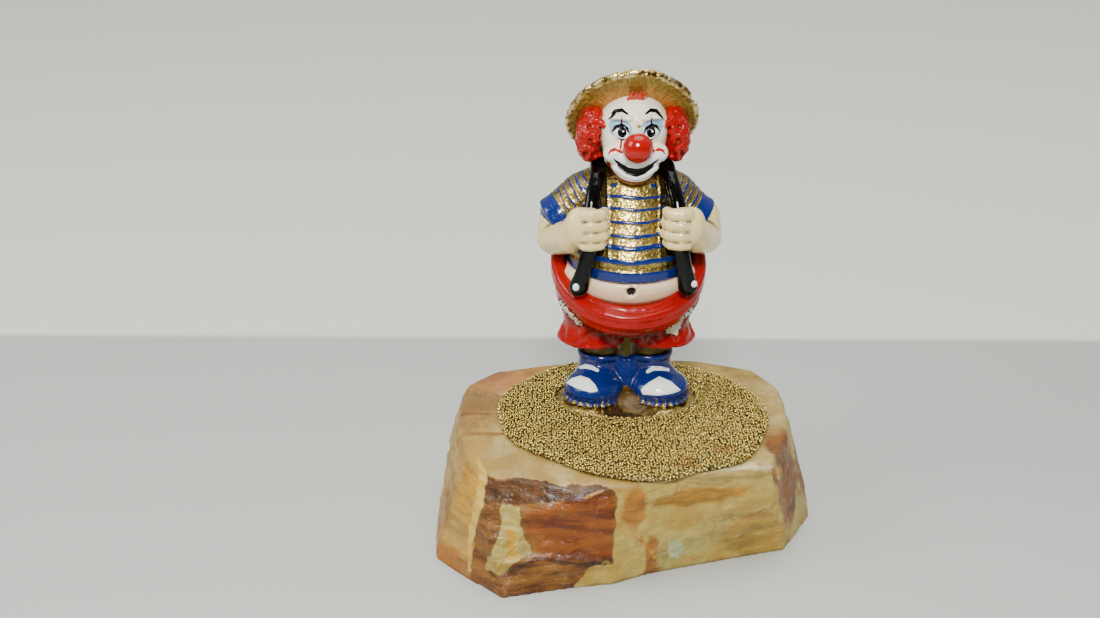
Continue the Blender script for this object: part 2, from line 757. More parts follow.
STONE_MINT = [(11.5, -3.8), (17.2, -3.0), (20.7, -7.6), (19.1, -12.4), (13.3, -11.6)]
STONE_SLOPE = [
    (-53.4, 18.6), (-39.0, 19.6), (-27.6, 17.8), (-8.1, 17.2), (-10.2, 16.1), (-19.6, 12.9), (-31.0, 11.4),
    (-39.1, 9.8), (-46.7, 10.8), (-53.0, 10.0),
]
EDGE_STROKE = ((-39.1, 9.3), (-31.0, 11.2), (-19.6, 12.8), (-10.2, 16.1))
STEP_STROKE = ((-43.4, -13.0), (-32.0, -8.9), (-20.6, -11.3), (-7.6, -11.3))
PALE_STROKE = ((25.5, 20.7), (38.9, 23.0), (50.4, 22.3))
RUST_STROKE = ((51.2, 21.4), (56.9, 9.1), (58.4, 0.5))
LEFT_STROKE = ((-58.7, 29.5), (-53.3, 19.9), (-55.2, 9.5), (-58.2, -3.5), (-59.0, -17.5))
ORANGE_STROKES = (((-3.2, -0.5), (2.6, -3.2), (8.6, -9.8)), ((19.0, -10.8), (25.7, -12.3)))


def paint_stone(mesh):
    """Stores the fields of the colours that end at a sharp line."""
    co = points_of(mesh)
    front = (co[:, 1] < -24.0) & (co[:, 2] < SLAB_HIGH.z / MM - 0.1 + 3.0 * ramp(-co[:, 1], 47.5, 48.5))
    x, v = slanted(co)
    ragged = 1.1 * noise_of(co, 5.0, 21.0, 4)

    def paint(name, field):
        store(mesh, name, np.where(front, field + ragged, -9.0))

    paint("brown", polygon_field(x, v, STONE_BROWN))
    paint("slope", polygon_field(x, v, STONE_SLOPE))
    paint("face", polygon_field(x, v, STONE_FACE))
    paint("patch", polygon_field(x, v, STONE_PATCH))
    paint("core", polygon_field(x, v, STONE_CORE) - 0.4)
    paint("mint", polygon_field(x, v, STONE_MINT) - 0.8)
    paint("bright_edge", stroke_field(x, v, EDGE_STROKE, (0.2, 0.5, 0.5, 0.3)) - 0.5)
    paint("step", stroke_field(x, v, STEP_STROKE, (0.6, 0.8, 0.7, 0.7)))
    paint("pale_line", stroke_field(x, v, PALE_STROKE, (0.7, 0.8, 0.9)))
    paint("rust_line", stroke_field(x, v, RUST_STROKE, (0.8, 1.1, 0.6)))
    paint("yellow", stroke_field(x, v, LEFT_STROKE, (0.2, 1.2, 1.6, 1.4, 0.8)) - 0.2)
    orange = [stroke_field(x, v, stroke, (0.9,) * len(stroke)) for stroke in ORANGE_STROKES]
    paint("orange", np.maximum(*orange))


def zone_group():
    """A soft blob of colour in the stone, with a ragged edge."""
    name = "Stone zone"
    if name in bpy.data.node_groups:
        return bpy.data.node_groups[name]
    inputs = (
        ("Centre", VECTOR, (0.0, 0.0, 0.0)),
        ("Reach", VECTOR, (0.01, 0.01, 0.01)),
        ("Ragged", FLOAT, 0.7),
        ("Soft", FLOAT, 0.35),
    )
    tree, given, out = new_group(name, inputs, (("Mask", FLOAT, None),))
    place = object_place(tree)
    ragged = noise_node(tree, place, 70.0, 5.0, 0.62).outputs["Fac"]
    away = add_node(tree, "ShaderNodeVectorMath", {"operation": "SUBTRACT"}, {0: place, 1: given.outputs["Centre"]})
    scaled = add_node(tree, "ShaderNodeVectorMath", {"operation": "DIVIDE"}, {0: away.outputs[0], 1: given.outputs["Reach"]})
    distance = add_node(tree, "ShaderNodeVectorMath", {"operation": "LENGTH"}, {0: scaled.outputs[0]}).outputs["Value"]
    wobble = math_node(tree, "MULTIPLY", math_node(tree, "SUBTRACT", ragged, 0.5), given.outputs["Ragged"])
    edge = math_node(tree, "ADD", distance, math_node(tree, "MULTIPLY", wobble, 2.0))
    inside = math_node(tree, "SUBTRACT", 1.0, edge)
    share = math_node(tree, "DIVIDE", inside, given.outputs["Soft"])
    tree.links.new(math_node(tree, "ADD", share, 0.5, clamp=True), out.inputs["Mask"])
    return tree


def vein_group():
    """Thin veins: 1 on a vein and 0 off it."""
    name = "Stone veins"
    if name in bpy.data.node_groups:
        return bpy.data.node_groups[name]
    inputs = (("Scale", FLOAT, 40.0), ("Width", FLOAT, 0.03), ("Shift", VECTOR, (0.0, 0.0, 0.0)))
    tree, given, out = new_group(name, inputs, (("Mask", FLOAT, None),))
    moved = add_node(tree, "ShaderNodeVectorMath", {"operation": "ADD"}, {0: object_place(tree), 1: given.outputs["Shift"]})
    values = noise_node(tree, moved.outputs[0], given.outputs["Scale"], 4.0, 0.55, 0.6).outputs["Fac"]
    away = math_node(tree, "ABSOLUTE", math_node(tree, "SUBTRACT", values, 0.5))
    share = math_node(tree, "DIVIDE", away, given.outputs["Width"])
    tree.links.new(math_node(tree, "SUBTRACT", 1.0, share, clamp=True), out.inputs["Mask"])
    return tree


# Coloured zones of the stone: (colour, centre and reach in mm from the middle of the slab's underside, raggedness).
STONE_ZONES = (
    (srgb(170, 111, 62), (-57.0, 34.0, 40.5), (22.0, 13.0, 8.0), 0.6),
    (srgb(159, 120, 62), (-60.0, 10.0, 40.5), (16.0, 20.0, 6.0), 0.6),
    (srgb(133, 92, 40), (-60.0, 4.0, 40.5), (16.0, 1.3, 4.0), 0.5),
    (srgb(137, 92, 39), (-58.0, -12.5, 40.5), (18.0, 1.5, 4.0), 0.5),
    (srgb(171, 135, 62), (-66.0, -30.0, 20.0), (15.0, 34.0, 30.0), 0.4),
    (srgb(179, 131, 39), (-60.0, -38.0, 30.0), (4.0, 14.0, 12.0), 1.0),
    (srgb(163, 110, 37), (-68.0, -26.0, 14.0), (6.0, 9.0, 16.0), 1.1),
    (srgb(151, 92, 27), (-68.0, -46.0, 2.0), (14.0, 14.0, 6.0), 0.8),
    (srgb(163, 105, 37), (0.0, -48.0, 30.0), (5.0, 9.0, 9.0), 1.2),
    (srgb(155, 92, 29), (7.0, -48.0, 8.0), (3.0, 12.0, 11.0), 1.1),
    (srgb(170, 123, 40), (24.0, -42.0, 31.0), (26.0, 9.0, 3.0), 1.3),
    (srgb(163, 150, 81), (16.0, -45.0, 9.0), (8.0, 10.0, 6.0), 1.2),
    (srgb(167, 150, 80), (36.0, -38.0, 15.0), (11.0, 10.0, 7.0), 1.3),
    (srgb(179, 155, 84), (38.0, -39.0, 37.0), (17.0, 7.0, 4.5), 0.6),
    (srgb(171, 135, 53), (46.0, -34.0, 10.0), (14.0, 10.0, 9.0), 1.4),
    (srgb(124, 75, 26), (57.0, -22.0, 38.5), (7.0, 14.0, 6.0), 0.9),
    (srgb(117, 65, 22), (61.0, -22.0, 24.0), (9.0, 14.0, 15.0), 0.9),
    (srgb(127, 74, 25), (70.0, -2.0, 26.0), (7.0, 16.0, 14.0), 1.2),
    (srgb(164, 137, 66), (44.0, 46.0, 40.0), (34.0, 12.0, 6.0), 0.7),
    (srgb(151, 113, 43), (-22.0, 46.0, 40.0), (26.0, 12.0, 6.0), 0.7),
)
STONE_PALE = srgb(178, 156, 78)
STONE_CREAM = srgb(168, 134, 58)
STONE_TOP = srgb(176, 154, 96)
STONE_RUST = srgb(135, 70, 24)
STONE_DARK = srgb(86, 46, 16)


# Sharp-edged colours in the order they are laid: (field, darker tone, lighter tone).
STONE_PAINTS = (
    ("brown", srgb(76, 40, 6), srgb(128, 84, 28)),
    ("slope", srgb(42, 24, 4), srgb(86, 54, 16)),
    ("face", srgb(88, 38, 0), srgb(134, 72, 6)),
    ("step", srgb(48, 24, 6), srgb(78, 42, 10)),
    ("patch", srgb(140, 118, 46), srgb(182, 164, 90)),
    ("core", srgb(170, 118, 18), srgb(190, 146, 44)),
    ("bright_edge", srgb(160, 108, 40), srgb(206, 166, 92)),
    ("mint", srgb(152, 156, 108), srgb(184, 186, 142)),
    ("orange", srgb(170, 116, 44), srgb(184, 138, 62)),
    ("yellow", srgb(188, 144, 44), srgb(206, 176, 88)),
    ("pale_line", srgb(172, 152, 100), srgb(200, 184, 138)),
    ("rust_line", srgb(126, 74, 26), srgb(158, 104, 44)),
)


def onyx_material():
    material = bpy.data.materials.new("onyx")
    material.use_nodes = True
    tree = material.node_tree
    shader = tree.nodes["Principled BSDF"]
    place = object_place(tree)
    cloudy = noise_node(tree, place, 55.0, 6.0, 0.6, 0.8).outputs["Fac"]
    fine = noise_node(tree, place, 240.0, 5.0, 0.65).outputs["Fac"]
    height = add_node(tree, "ShaderNodeSeparateXYZ", None, {"Vector": place}).outputs["Z"]
    body = mix_colour(tree, map_range(tree, cloudy, 0.38, 0.62), rgba(STONE_CREAM), rgba(STONE_PALE))
    at_top = map_range(tree, height, SLAB_TOP - 2.5 * MM, SLAB_TOP - 0.8 * MM)
    mottled = mix_colour(tree, map_range(tree, cloudy, 0.35, 0.6), rgba(srgb(154, 126, 66)), rgba(STONE_TOP))
    body = mix_colour(tree, at_top, body, mottled)
    streaks = add_node(tree, "ShaderNodeMapping", None, {"Vector": place, "Scale": (0.35, 0.35, 1.9)}).outputs[0]
    layered = noise_node(tree, streaks, 120.0, 5.0, 0.65).outputs["Fac"]
    for colour, centre, reach, ragged in STONE_ZONES:
        values = {"Centre": tuple(c * MM for c in centre), "Reach": tuple(r * MM for r in reach), "Ragged": ragged}
        mask = group_node(tree, zone_group(), values).outputs["Mask"]
        dark = tuple(c * 0.55 for c in colour)
        own = mix_colour(tree, map_range(tree, layered, 0.42, 0.62), rgba(colour), rgba(dark))
        body = mix_colour(tree, math_node(tree, "MULTIPLY", mask, 0.92), body, own)
    ragged = math_node(tree, "MULTIPLY", math_node(tree, "SUBTRACT", fine, 0.5), 2.4)
    for field, low, high in STONE_PAINTS:
        edge = math_node(tree, "ADD", attribute(tree, field), ragged)
        own = mix_colour(tree, map_range(tree, layered, 0.36, 0.6), rgba(low), rgba(high))
        body = mix_colour(tree, map_range(tree, edge, -0.35, 0.35), body, own)
    for scale, width, colour, strength, shift in (
        (26.0, 0.012, STONE_RUST, 0.55, (0.31, 0.0, 0.0)),
        (48.0, 0.012, STONE_DARK, 0.3, (0.0, 0.47, 0.0)),
        (70.0, 0.022, srgb(214, 196, 142), 0.14, (0.0, 0.0, 0.77)),
    ):
        vein = group_node(tree, vein_group(), {"Scale": scale, "Width": width, "Shift": shift}).outputs["Mask"]
        vein = math_node(tree, "MULTIPLY", vein, map_range(tree, cloudy, 0.42, 0.6, 0.0, strength))
        body = mix_colour(tree, vein, body, rgba(colour))
    body = mix_colour(tree, map_range(tree, fine, 0.5, 0.75, 0.0, 0.28), body, rgba(STONE_RUST))
    hollow = map_range(tree, attribute(tree, "hollow"), 0.05, 0.5, 0.0, 0.55)
    body = mix_colour(tree, hollow, body, rgba(STONE_DARK))
    tree.links.new(body, shader.inputs["Base Color"])
    tree.links.new(map_range(tree, fine, 0.3, 0.7, 0.3, 0.56), shader.inputs["Roughness"])
    shader.inputs["Subsurface Weight"].default_value = 0.12
    shader.inputs["Subsurface Radius"].default_value = (1.0, 0.6, 0.32)
    shader.inputs["Subsurface Scale"].default_value = 4.0 * MM
    shader.inputs["Coat Weight"].default_value = 0.04
    shader.inputs["Coat Roughness"].default_value = 0.12
    shader.inputs["Specular IOR Level"].default_value = 0.4
    crystals = add_node(tree, "ShaderNodeTexVoronoi", None, {"Vector": place, "Scale": 900.0}).outputs["Distance"]
    relief = math_node(tree, "ADD", math_node(tree, "MULTIPLY", layered, 1.6), math_node(tree, "MULTIPLY", crystals, 0.22))
    raised = add_node(tree, "ShaderNodeBump", None, {"Strength": 0.7, "Distance": 0.0009, "Height": relief})
    tree.links.new(raised.outputs[0], shader.inputs["Normal"])
    return material


class FIGURINE_OT_slab(bpy.types.Operator):
    """Rough slab of onyx"""

    bl_idname = "figurine.slab"
    bl_label = "Onyx slab"

    def execute(self, context):
        place = Matrix.Scale(MM, 4)
        finish_piece("rough_onyx_slab", slab_mesh(), onyx_material(), place, "onyx_slab")
        return {"FINISHED"}


# The bed of beads.

GLUE_SHARE = 0.66
BEAD_SEED = 3


def bed_surface():
    """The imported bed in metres, and how high it stands."""
    bm = bmesh.new()
    bm.from_mesh(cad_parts["bead_bed"].data)
    bmesh.ops.remove_doubles(bm, verts=bm.verts, dist=1e-6)
    return bm


def bead_tree():
    """Geometry nodes: a jittered honeycomb of beads over the bed, and more on its rim."""
    tree = bpy.data.node_groups.new("Beads over a bed", "GeometryNodeTree")
    tree.interface.new_socket("Geometry", in_out="INPUT", socket_type="NodeSocketGeometry")
    for label, default in (("Diameter", 0.001), ("Spacing", 0.0009), ("Reach", 0.06), ("From", 0.0), ("To", 1.0)):
        tree.interface.new_socket(label, in_out="INPUT", socket_type=FLOAT).default_value = default
    tree.interface.new_socket("Material", in_out="INPUT", socket_type="NodeSocketMaterial")
    tree.interface.new_socket("Geometry", in_out="OUTPUT", socket_type="NodeSocketGeometry")
    given = tree.nodes.new("NodeGroupInput").outputs
    out = tree.nodes.new("NodeGroupOutput")

    def sum_of(a, b, operation="ADD"):
        return math_geo(tree, operation, a, b)

    across = sum_of(sum_of(given["Reach"], 2.0, "MULTIPLY"), given["Spacing"], "DIVIDE")
    rows = sum_of(across, math.sqrt(0.75), "DIVIDE")
    count = add_node(tree, "FunctionNodeFloatToInt", None, {0: rows}).outputs[0]
    grid = add_node(tree, "GeometryNodeMeshGrid", None, {"Vertices X": count, "Vertices Y": count}).outputs["Mesh"]
    index = add_node(tree, "GeometryNodeInputIndex").outputs[0]
    column = add_node(tree, "ShaderNodeMath", {"operation": "FLOOR"}, {0: sum_of(index, count, "DIVIDE")}).outputs[0]
    row = sum_of(index, count, "MODULO")
    odd = sum_of(column, 2.0, "MODULO")
    x = sum_of(sum_of(column, given["Spacing"], "MULTIPLY"), math.sqrt(0.75), "MULTIPLY")
    y = sum_of(sum_of(row, sum_of(odd, 0.5, "MULTIPLY")), given["Spacing"], "MULTIPLY")
    x = sum_of(x, given["Reach"], "SUBTRACT")
    y = sum_of(y, given["Reach"], "SUBTRACT")
    random_values = {"Min": (-0.3, -0.3, -0.3), "Max": (0.3, 0.3, 0.3), "Seed": BEAD_SEED}
    stray = add_node(tree, "FunctionNodeRandomValue", {"data_type": "FLOAT_VECTOR"}, random_values).outputs[0]
    stray = add_node(tree, "ShaderNodeVectorMath", {"operation": "SCALE"}, {0: stray, "Scale": given["Spacing"]}).outputs[0]
    flat = add_node(tree, "ShaderNodeCombineXYZ", None, {"X": x, "Y": y, "Z": SLAB_TOP + 0.02}).outputs[0]
    spot = add_node(tree, "ShaderNodeVectorMath", None, {0: flat, 1: stray}).outputs[0]
    lumps = add_node(tree, "ShaderNodeTexNoise", None, {"Vector": spot, "Scale": 160.0, "Detail": 2.0}).outputs["Fac"]
    ray_values = {"Target Geometry": given["Geometry"], "Source Position": spot, "Ray Direction": (0.0, 0.0, -1.0)}
    ray = add_node(tree, "GeometryNodeRaycast", None, {**ray_values, "Ray Length": 0.05})
    lump = sum_of(sum_of(lumps, 0.5, "SUBTRACT"), 0.0016, "MULTIPLY")
    stray_z = add_node(tree, "ShaderNodeSeparateXYZ", None, {"Vector": stray}).outputs["Z"]
    rise = sum_of(sum_of(lump, stray_z), sum_of(given["Diameter"], -0.35, "MULTIPLY"))
    lift = add_node(tree, "ShaderNodeCombineXYZ", None, {"Z": rise}).outputs[0]
    seat = add_node(tree, "ShaderNodeVectorMath", None, {0: ray.outputs["Hit Position"], 1: lift}).outputs[0]
    placed = add_node(tree, "GeometryNodeSetPosition", None, {"Geometry": grid, "Position": seat}).outputs[0]
    hit = add_node(tree, "FunctionNodeBooleanMath", {"operation": "NOT"}, {0: ray.outputs["Is Hit"]}).outputs[0]
    kept = add_node(tree, "GeometryNodeDeleteGeometry", {"domain": "POINT"}, {"Geometry": placed, "Selection": hit}).outputs[0]
    top_points = add_node(tree, "GeometryNodeMeshToPoints", None, {"Mesh": kept}).outputs[0]

    normal = add_node(tree, "GeometryNodeInputNormal").outputs[0]
    steep = add_node(tree, "ShaderNodeSeparateXYZ", None, {"Vector": normal}).outputs["Z"]
    on_rim = add_node(tree, "FunctionNodeCompare", {"operation": "LESS_THAN"}, {0: add_node(
        tree, "ShaderNodeMath", {"operation": "ABSOLUTE"}, {0: steep}).outputs[0], 1: 0.9}).outputs[0]
    rim_values = {"Mesh": given["Geometry"], "Selection": on_rim, "Density Max": 4.0e6, "Seed": BEAD_SEED}
    rim = add_node(tree, "GeometryNodeDistributePointsOnFaces", {"distribute_method": "POISSON"}, rim_values)
    tree.links.new(sum_of(given["Spacing"], 0.9, "MULTIPLY"), rim.inputs["Distance Min"])
    both = tree.nodes.new("GeometryNodeJoinGeometry")
    tree.links.new(top_points, both.inputs[0])
    tree.links.new(rim.outputs["Points"], both.inputs[0])

    across = add_node(tree, "ShaderNodeSeparateXYZ", None, {
        "Vector": add_node(tree, "GeometryNodeInputPosition").outputs[0]}).outputs["Y"]
    below = add_node(tree, "FunctionNodeCompare", {"operation": "LESS_THAN"}, {0: across, 1: given["From"]}).outputs[0]
    above = add_node(tree, "FunctionNodeCompare", {"operation": "GREATER_EQUAL"}, {0: across, 1: given["To"]}).outputs[0]
    outside = add_node(tree, "FunctionNodeBooleanMath", {"operation": "OR"}, {0: below, 1: above}).outputs[0]
    share = add_node(tree, "GeometryNodeDeleteGeometry", {"domain": "POINT"},
                     {"Geometry": both.outputs[0], "Selection": outside}).outputs[0]

    tone = add_node(tree, "FunctionNodeRandomValue", {"data_type": "FLOAT"}, {"Seed": BEAD_SEED + 5}).outputs[1]
    toned = add_node(tree, "GeometryNodeStoreNamedAttribute", {"data_type": "FLOAT", "domain": "POINT"},
                     {"Geometry": share, "Name": "tone", "Value": tone}).outputs[0]
    bead = add_node(tree, "GeometryNodeMeshUVSphere", None, {"Segments": 6, "Rings": 4}).outputs["Mesh"]
    tree.links.new(sum_of(given["Diameter"], 0.5, "MULTIPLY"), bead.node.inputs["Radius"])
    size = add_node(tree, "FunctionNodeRandomValue", {"data_type": "FLOAT"}, {2: 0.82, 3: 1.06, "Seed": BEAD_SEED + 9}).outputs[1]
    turn = add_node(tree, "FunctionNodeRandomValue", {"data_type": "FLOAT_VECTOR"},
                    {"Max": (math.tau, math.tau, math.tau), "Seed": BEAD_SEED + 2}).outputs[0]
    spread = add_node(tree, "GeometryNodeInstanceOnPoints", None, {"Points": toned, "Instance": bead})
    tree.links.new(turn, spread.inputs["Rotation"])
    tree.links.new(size, spread.inputs["Scale"])
    real = add_node(tree, "GeometryNodeRealizeInstances", None, {"Geometry": spread.outputs[0]}).outputs[0]
    done = add_node(tree, "GeometryNodeSetMaterial", None, {"Geometry": real, "Material": given["Material"]}).outputs[0]
    tree.links.new(done, out.inputs[0])
    return tree


def math_geo(tree, operation, a, b):
    return add_node(tree, "ShaderNodeMath", {"operation": operation}, {0: a, 1: b}).outputs[0]


def run_tree(name, mesh, tree, values):
    """Runs a geometry node tree on a mesh and gives the result as a plain mesh. values go by the sockets' names."""
    obj = plain_object(name, mesh)
    modifier = obj.modifiers.new("Nodes", "NODES")
    modifier.node_group = tree
    for item in tree.interface.items_tree:
        if item.in_out == "INPUT" and item.name in values:
            modifier[item.identifier] = values[item.name]
    return baked(obj)


# Where the beads are tinted with rust, in metres.
RUSTY_BEADS = ((0.0195, -0.038, 0.0415), (0.0335, -0.0272, 0.0415), (-0.046, -0.020, 0.0415))


def bead_material():
    material = bpy.data.materials.new("gilt_bead")
    material.use_nodes = True
    tree = material.node_tree
    shader = tree.nodes["Principled BSDF"]
    tone = attribute(tree, "tone")
    dirt = noise_node(tree, object_place(tree), 85.0, 5.0, 0.7).outputs["Fac"]
    pale = mix_colour(tree, tone, rgba(srgb(172, 146, 60)), rgba(srgb(252, 238, 154)))
    rusty = map_range(tree, tone, 0.93, 0.96)
    for centre in RUSTY_BEADS:
        values = {"Centre": centre, "Reach": (0.004, 0.003, 0.02), "Ragged": 1.6, "Soft": 0.9}
        rusty = math_node(tree, "MAXIMUM", rusty, group_node(tree, zone_group(), values).outputs["Mask"])
    pale = mix_colour(tree, math_node(tree, "MULTIPLY", rusty, 0.4), pale, rgba(srgb(150, 88, 34)))
    black = map_range(tree, tone, 0.0, 0.09, 1.0, 0.0)
    dull = map_range(tree, dirt, 0.58, 0.68, 0.0, 0.85)
    dark = math_node(tree, "MAXIMUM", math_node(tree, "MULTIPLY", black, 0.8), math_node(tree, "MULTIPLY", dull, tone))
    tree.links.new(mix_colour(tree, dark, pale, rgba(srgb(74, 54, 30))), shader.inputs["Base Color"])
    tree.links.new(mix_number(tree, tone, 0.2, 0.34), shader.inputs["Roughness"])
    shader.inputs["Metallic"].default_value = 0.85
    return material


def glue_material():
    material = bpy.data.materials.new("clear_glue")
    material.use_nodes = True
    tree = material.node_tree
    shader = tree.nodes["Principled BSDF"]
    cloudy = noise_node(tree, object_place(tree), 400.0, 4.0).outputs["Fac"]
    shade = mix_colour(tree, map_range(tree, cloudy, 0.35, 0.65), rgba(srgb(50, 38, 13)), rgba(srgb(88, 68, 28)))
    tree.links.new(shade, shader.inputs["Base Color"])
    tree.links.new(map_range(tree, cloudy, 0.3, 0.7, 0.2, 0.45), shader.inputs["Roughness"])
    shader.inputs["Metallic"].default_value = 0.3
    raised = add_node(tree, "ShaderNodeBump", None, {"Strength": 0.4, "Distance": 0.0003, "Height": cloudy})
    tree.links.new(raised.outputs[0], shader.inputs["Normal"])
    return material


BED_PARTS = 3


class FIGURINE_OT_beads(bpy.types.Operator):
    """Gilt beads set in glue round the feet"""

    bl_idname = "figurine.beads"
    bl_label = "Bead bed"

    def execute(self, context):
        unplaced = Matrix.Identity(4)
        glue = bed_surface()
        for vert in glue.verts:
            vert.co.z = SLAB_TOP + (vert.co.z - SLAB_TOP) * GLUE_SHARE
        finish_piece("bead_glue", mesh_from(glue), glue_material(), unplaced, "bead_bed")
        tree = bead_tree()
        finish = bead_material()
        low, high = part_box("bead_bed")
        reach = max(high[0] - low[0], high[1] - low[1]) / 2 + 2.0 * MM
        cuts = [-1.0, -16.5 * MM, 10.0 * MM, 1.0]
        for i in range(BED_PARTS):
            values = {
                "Diameter": sizes().bead_diameter,
                "Spacing": sizes().bead_spacing,
                "Reach": reach,
                "From": cuts[i],
                "To": cuts[i + 1],
                "Material": finish,
            }
            mesh = run_tree("beads", mesh_from(bed_surface()), tree, values)
            finish_piece(f"gilt_beads_{i + 1}", mesh, finish, unplaced, "bead_bed")
        return {"FINISHED"}


# Feet.

def around(co, centre_x, centre_y, radius):
    """Distance round an upright cylinder from its front, in mm, and height."""
    return np.arctan2(co[:, 0] - centre_x, centre_y - co[:, 1]) * radius, co[:, 2]


def polygon_field(x, z, points):
    """Above 0 inside a polygon, in mm from its edge."""
    inside = np.zeros(len(x), bool)
    away = np.full(len(x), 1e3)
    for (ax, az), (bx, bz) in zip(points, points[1:] + points[:1]):
        dx, dz = bx - ax, bz - az
        t = np.clip(((x - ax) * dx + (z - az) * dz) / (dx * dx + dz * dz), 0.0, 1.0)
        away = np.minimum(away, np.hypot(x - ax - t * dx, z - az - t * dz))
        crosses = (az > z) != (bz > z)
        inside ^= crosses & (x < ax + (z - az) * dx / (dz if dz else 1e-9))
    return np.where(inside, away, -away)


def puddle_mesh():
    low = ((0.0, -6.5, 0.75), (28.7, 20.2, 0.75))
    high = ((0.0, -6.5, 1.5), (24.0, 16.0, 1.5))
    forms = [hull(low, high)]
    for x, y, reach in ((-15.0, -16.0, 7.0), (13.0, -17.0, 8.0), (0.0, -17.5, 6.0), (20.0, -8.0, 6.0), (-21.0, -6.0, 5.0)):
        forms.append(ball((x, y, 1.2), (reach, reach * 0.8, 1.9)))
    forms.append(ball((0.0, -13.5, 2.0), (5.5, 6.0, 4.2)))
    mesh = fuse(forms, COARSE, 4)
    co = points_of(mesh)
    up = ramp(normals_of(mesh)[:, 2], 0.2, 0.7)
    wrinkles = 0.45 * noise_of(co * np.array([1.0, 1.0, 0.0]), 3.4, 1.0, 3) - 0.25 * np.abs(noise_of(co, 2.0, 3.0))
    co[:, 2] += wrinkles * up
    move_points(mesh, co)
    store_hollows(mesh)
    x, y = co[:, 0], co[:, 1]
    blotch = noise_of(co, 5.0, 6.0, 2) * 2.6
    store(mesh, "brown", ellipse_field(x, y, (1.0, -17.0), (8.5, 6.0)) + blotch * 1.6)
    store(mesh, "pink", ellipse_field(x, y, (2.0, -19.0), (6.0, 3.4)) + blotch * 1.2 - 0.4)
    return mesh


# Paint on the shoes, on the slanted view: toe caps, and the curved stripe above each.
CAP_LEFT = [(-24.0, 4.4), (-21.8, 6.3), (-18.3, 7.3), (-15.0, 6.2), (-13.0, 4.0), (-11.9, 1.6), (-14.6, 1.1), (-18.0, 1.8), (-21.4, 3.1)]
CAP_RIGHT = [(4.8, 1.6), (6.0, 3.2), (9.0, 5.2), (12.2, 6.8), (16.5, 5.0), (20.4, 1.4), (16.9, 0.3), (11.7, -0.4), (5.6, -0.1)]
STRIPE_LEFT = ((-18.2, 10.2), (-16.0, 10.7), (-13.8, 10.3), (-11.6, 9.2))
STRIPE_RIGHT = ((8.0, 8.5), (10.2, 9.7), (13.0, 9.7), (16.3, 9.2))
TOE_CENTRE = (13.0, -9.2, 6.9)
TOE_RADII = (11.5, 11.0, 6.6)
RIB_PITCH = 2.0


def shoe_forms():
    sole = hull(((9.5, 4.0, 3.4), (10.0, 9.2, 1.8)), ((13.0, -9.0, 3.4), (12.2, 11.6, 1.8)))
    toe = ball(TOE_CENTRE, TOE_RADII)
    instep = hull(((9.6, 0.5, 10.0), (9.0, 9.0, 6.0)), ((12.2, -7.0, 8.0), (10.0, 9.0, 6.0)))
    ankle = hull(((9.2, 2.0, 8.0), (9.4, 9.2, 5.0)), ((9.2, 0.8, 18.0), (9.0, 8.4, 1.6)))
    collar = hull(((9.2, 0.8, 17.2), (9.8, 9.2, 1.1)), ((9.2, 0.8, 18.6), (9.8, 9.2, 1.1)))
    heel = ball((9.3, 5.0, 7.0), (9.2, 8.6, 6.0))
    return [sole, toe, instep, ankle, collar, heel]


def shoes_mesh():
    tongue = hull(((0.0, -5.0, 7.0), (5.5, 6.0, 4.6)), ((0.0, -2.2, 17.6), (6.2, 6.0, 1.2)))
    mesh = fuse([tongue, *both_sides(shoe_forms())], MEDIUM, 3)
    co = points_of(mesh)
    x, v = slanted(co)
    height = co[:, 2]
    side = np.sign(x)
    turn = np.arctan2(x - side * 12.0, -3.0 - co[:, 1])
    low = ramp(6.4 - height, 0.0, 1.2)
    ribs = np.cos(turn * 13.0 / RIB_PITCH * math.tau)
    drip = noise_of(np.stack([turn * 13.0, np.zeros(len(x)), np.zeros(len(x))], 1), 1.6, 5.0, 2)
    front = ramp(-co[:, 1], -8.0, 2.0)
    peaks = 1.0 - 2.0 * np.abs(2.0 * np.mod(turn * 13.0 / RIB_PITCH + 0.35 * drip, 1.0) - 1.0)
    edge = 3.7 + 1.2 * drip + 1.1 * peaks * front
    between = np.clip(1.0 - np.abs(x) / 5.5, 0.0, 1.0)
    edge += between * ramp(-co[:, 1], 4.0, 10.0) * 4.6 * (0.75 + 0.6 * drip)
    bare = edge - height
    seam = 0.55 * ramp(0.8 - np.abs(x), 0.0, 0.8)
    welt = 0.22 * ramp(0.8 - np.abs(height - 6.0), 0.0, 0.8) * front
    top_line = 0.25 * ramp(0.5 - np.abs(height - 15.7), 0.0, 0.5)
    caps = np.maximum(polygon_field(x, v, CAP_LEFT), polygon_field(x, v, CAP_RIGHT))
    stripes = np.maximum(
        stroke_field(x, v, STRIPE_LEFT, (0.5, 0.85, 0.85, 0.6)), stroke_field(x, v, STRIPE_RIGHT, (0.55, 0.85, 0.8, 0.6))
    )
    facing = (co[:, 1] < 2.0) & (height > 5.5)
    caps = np.where(facing, caps, -9.0)
    stripes = np.where(facing, stripes, -9.0)
    dents = 0.10 * noise_of(co, 2.6, 2.0, 2)
    push(mesh, dents + 0.2 * ribs * low * front - seam - welt - top_line + 0.18 * ramp(caps, -0.1, 0.5))
    store_hollows(mesh)
    store(mesh, "bare", bare)
    store(mesh, "white", np.maximum(caps, stripes))
    store(mesh, "dark_rim", np.minimum(height - 18.9, 0.5) + 0.3 * noise_of(co, 2.5, 9.0))
    return mesh


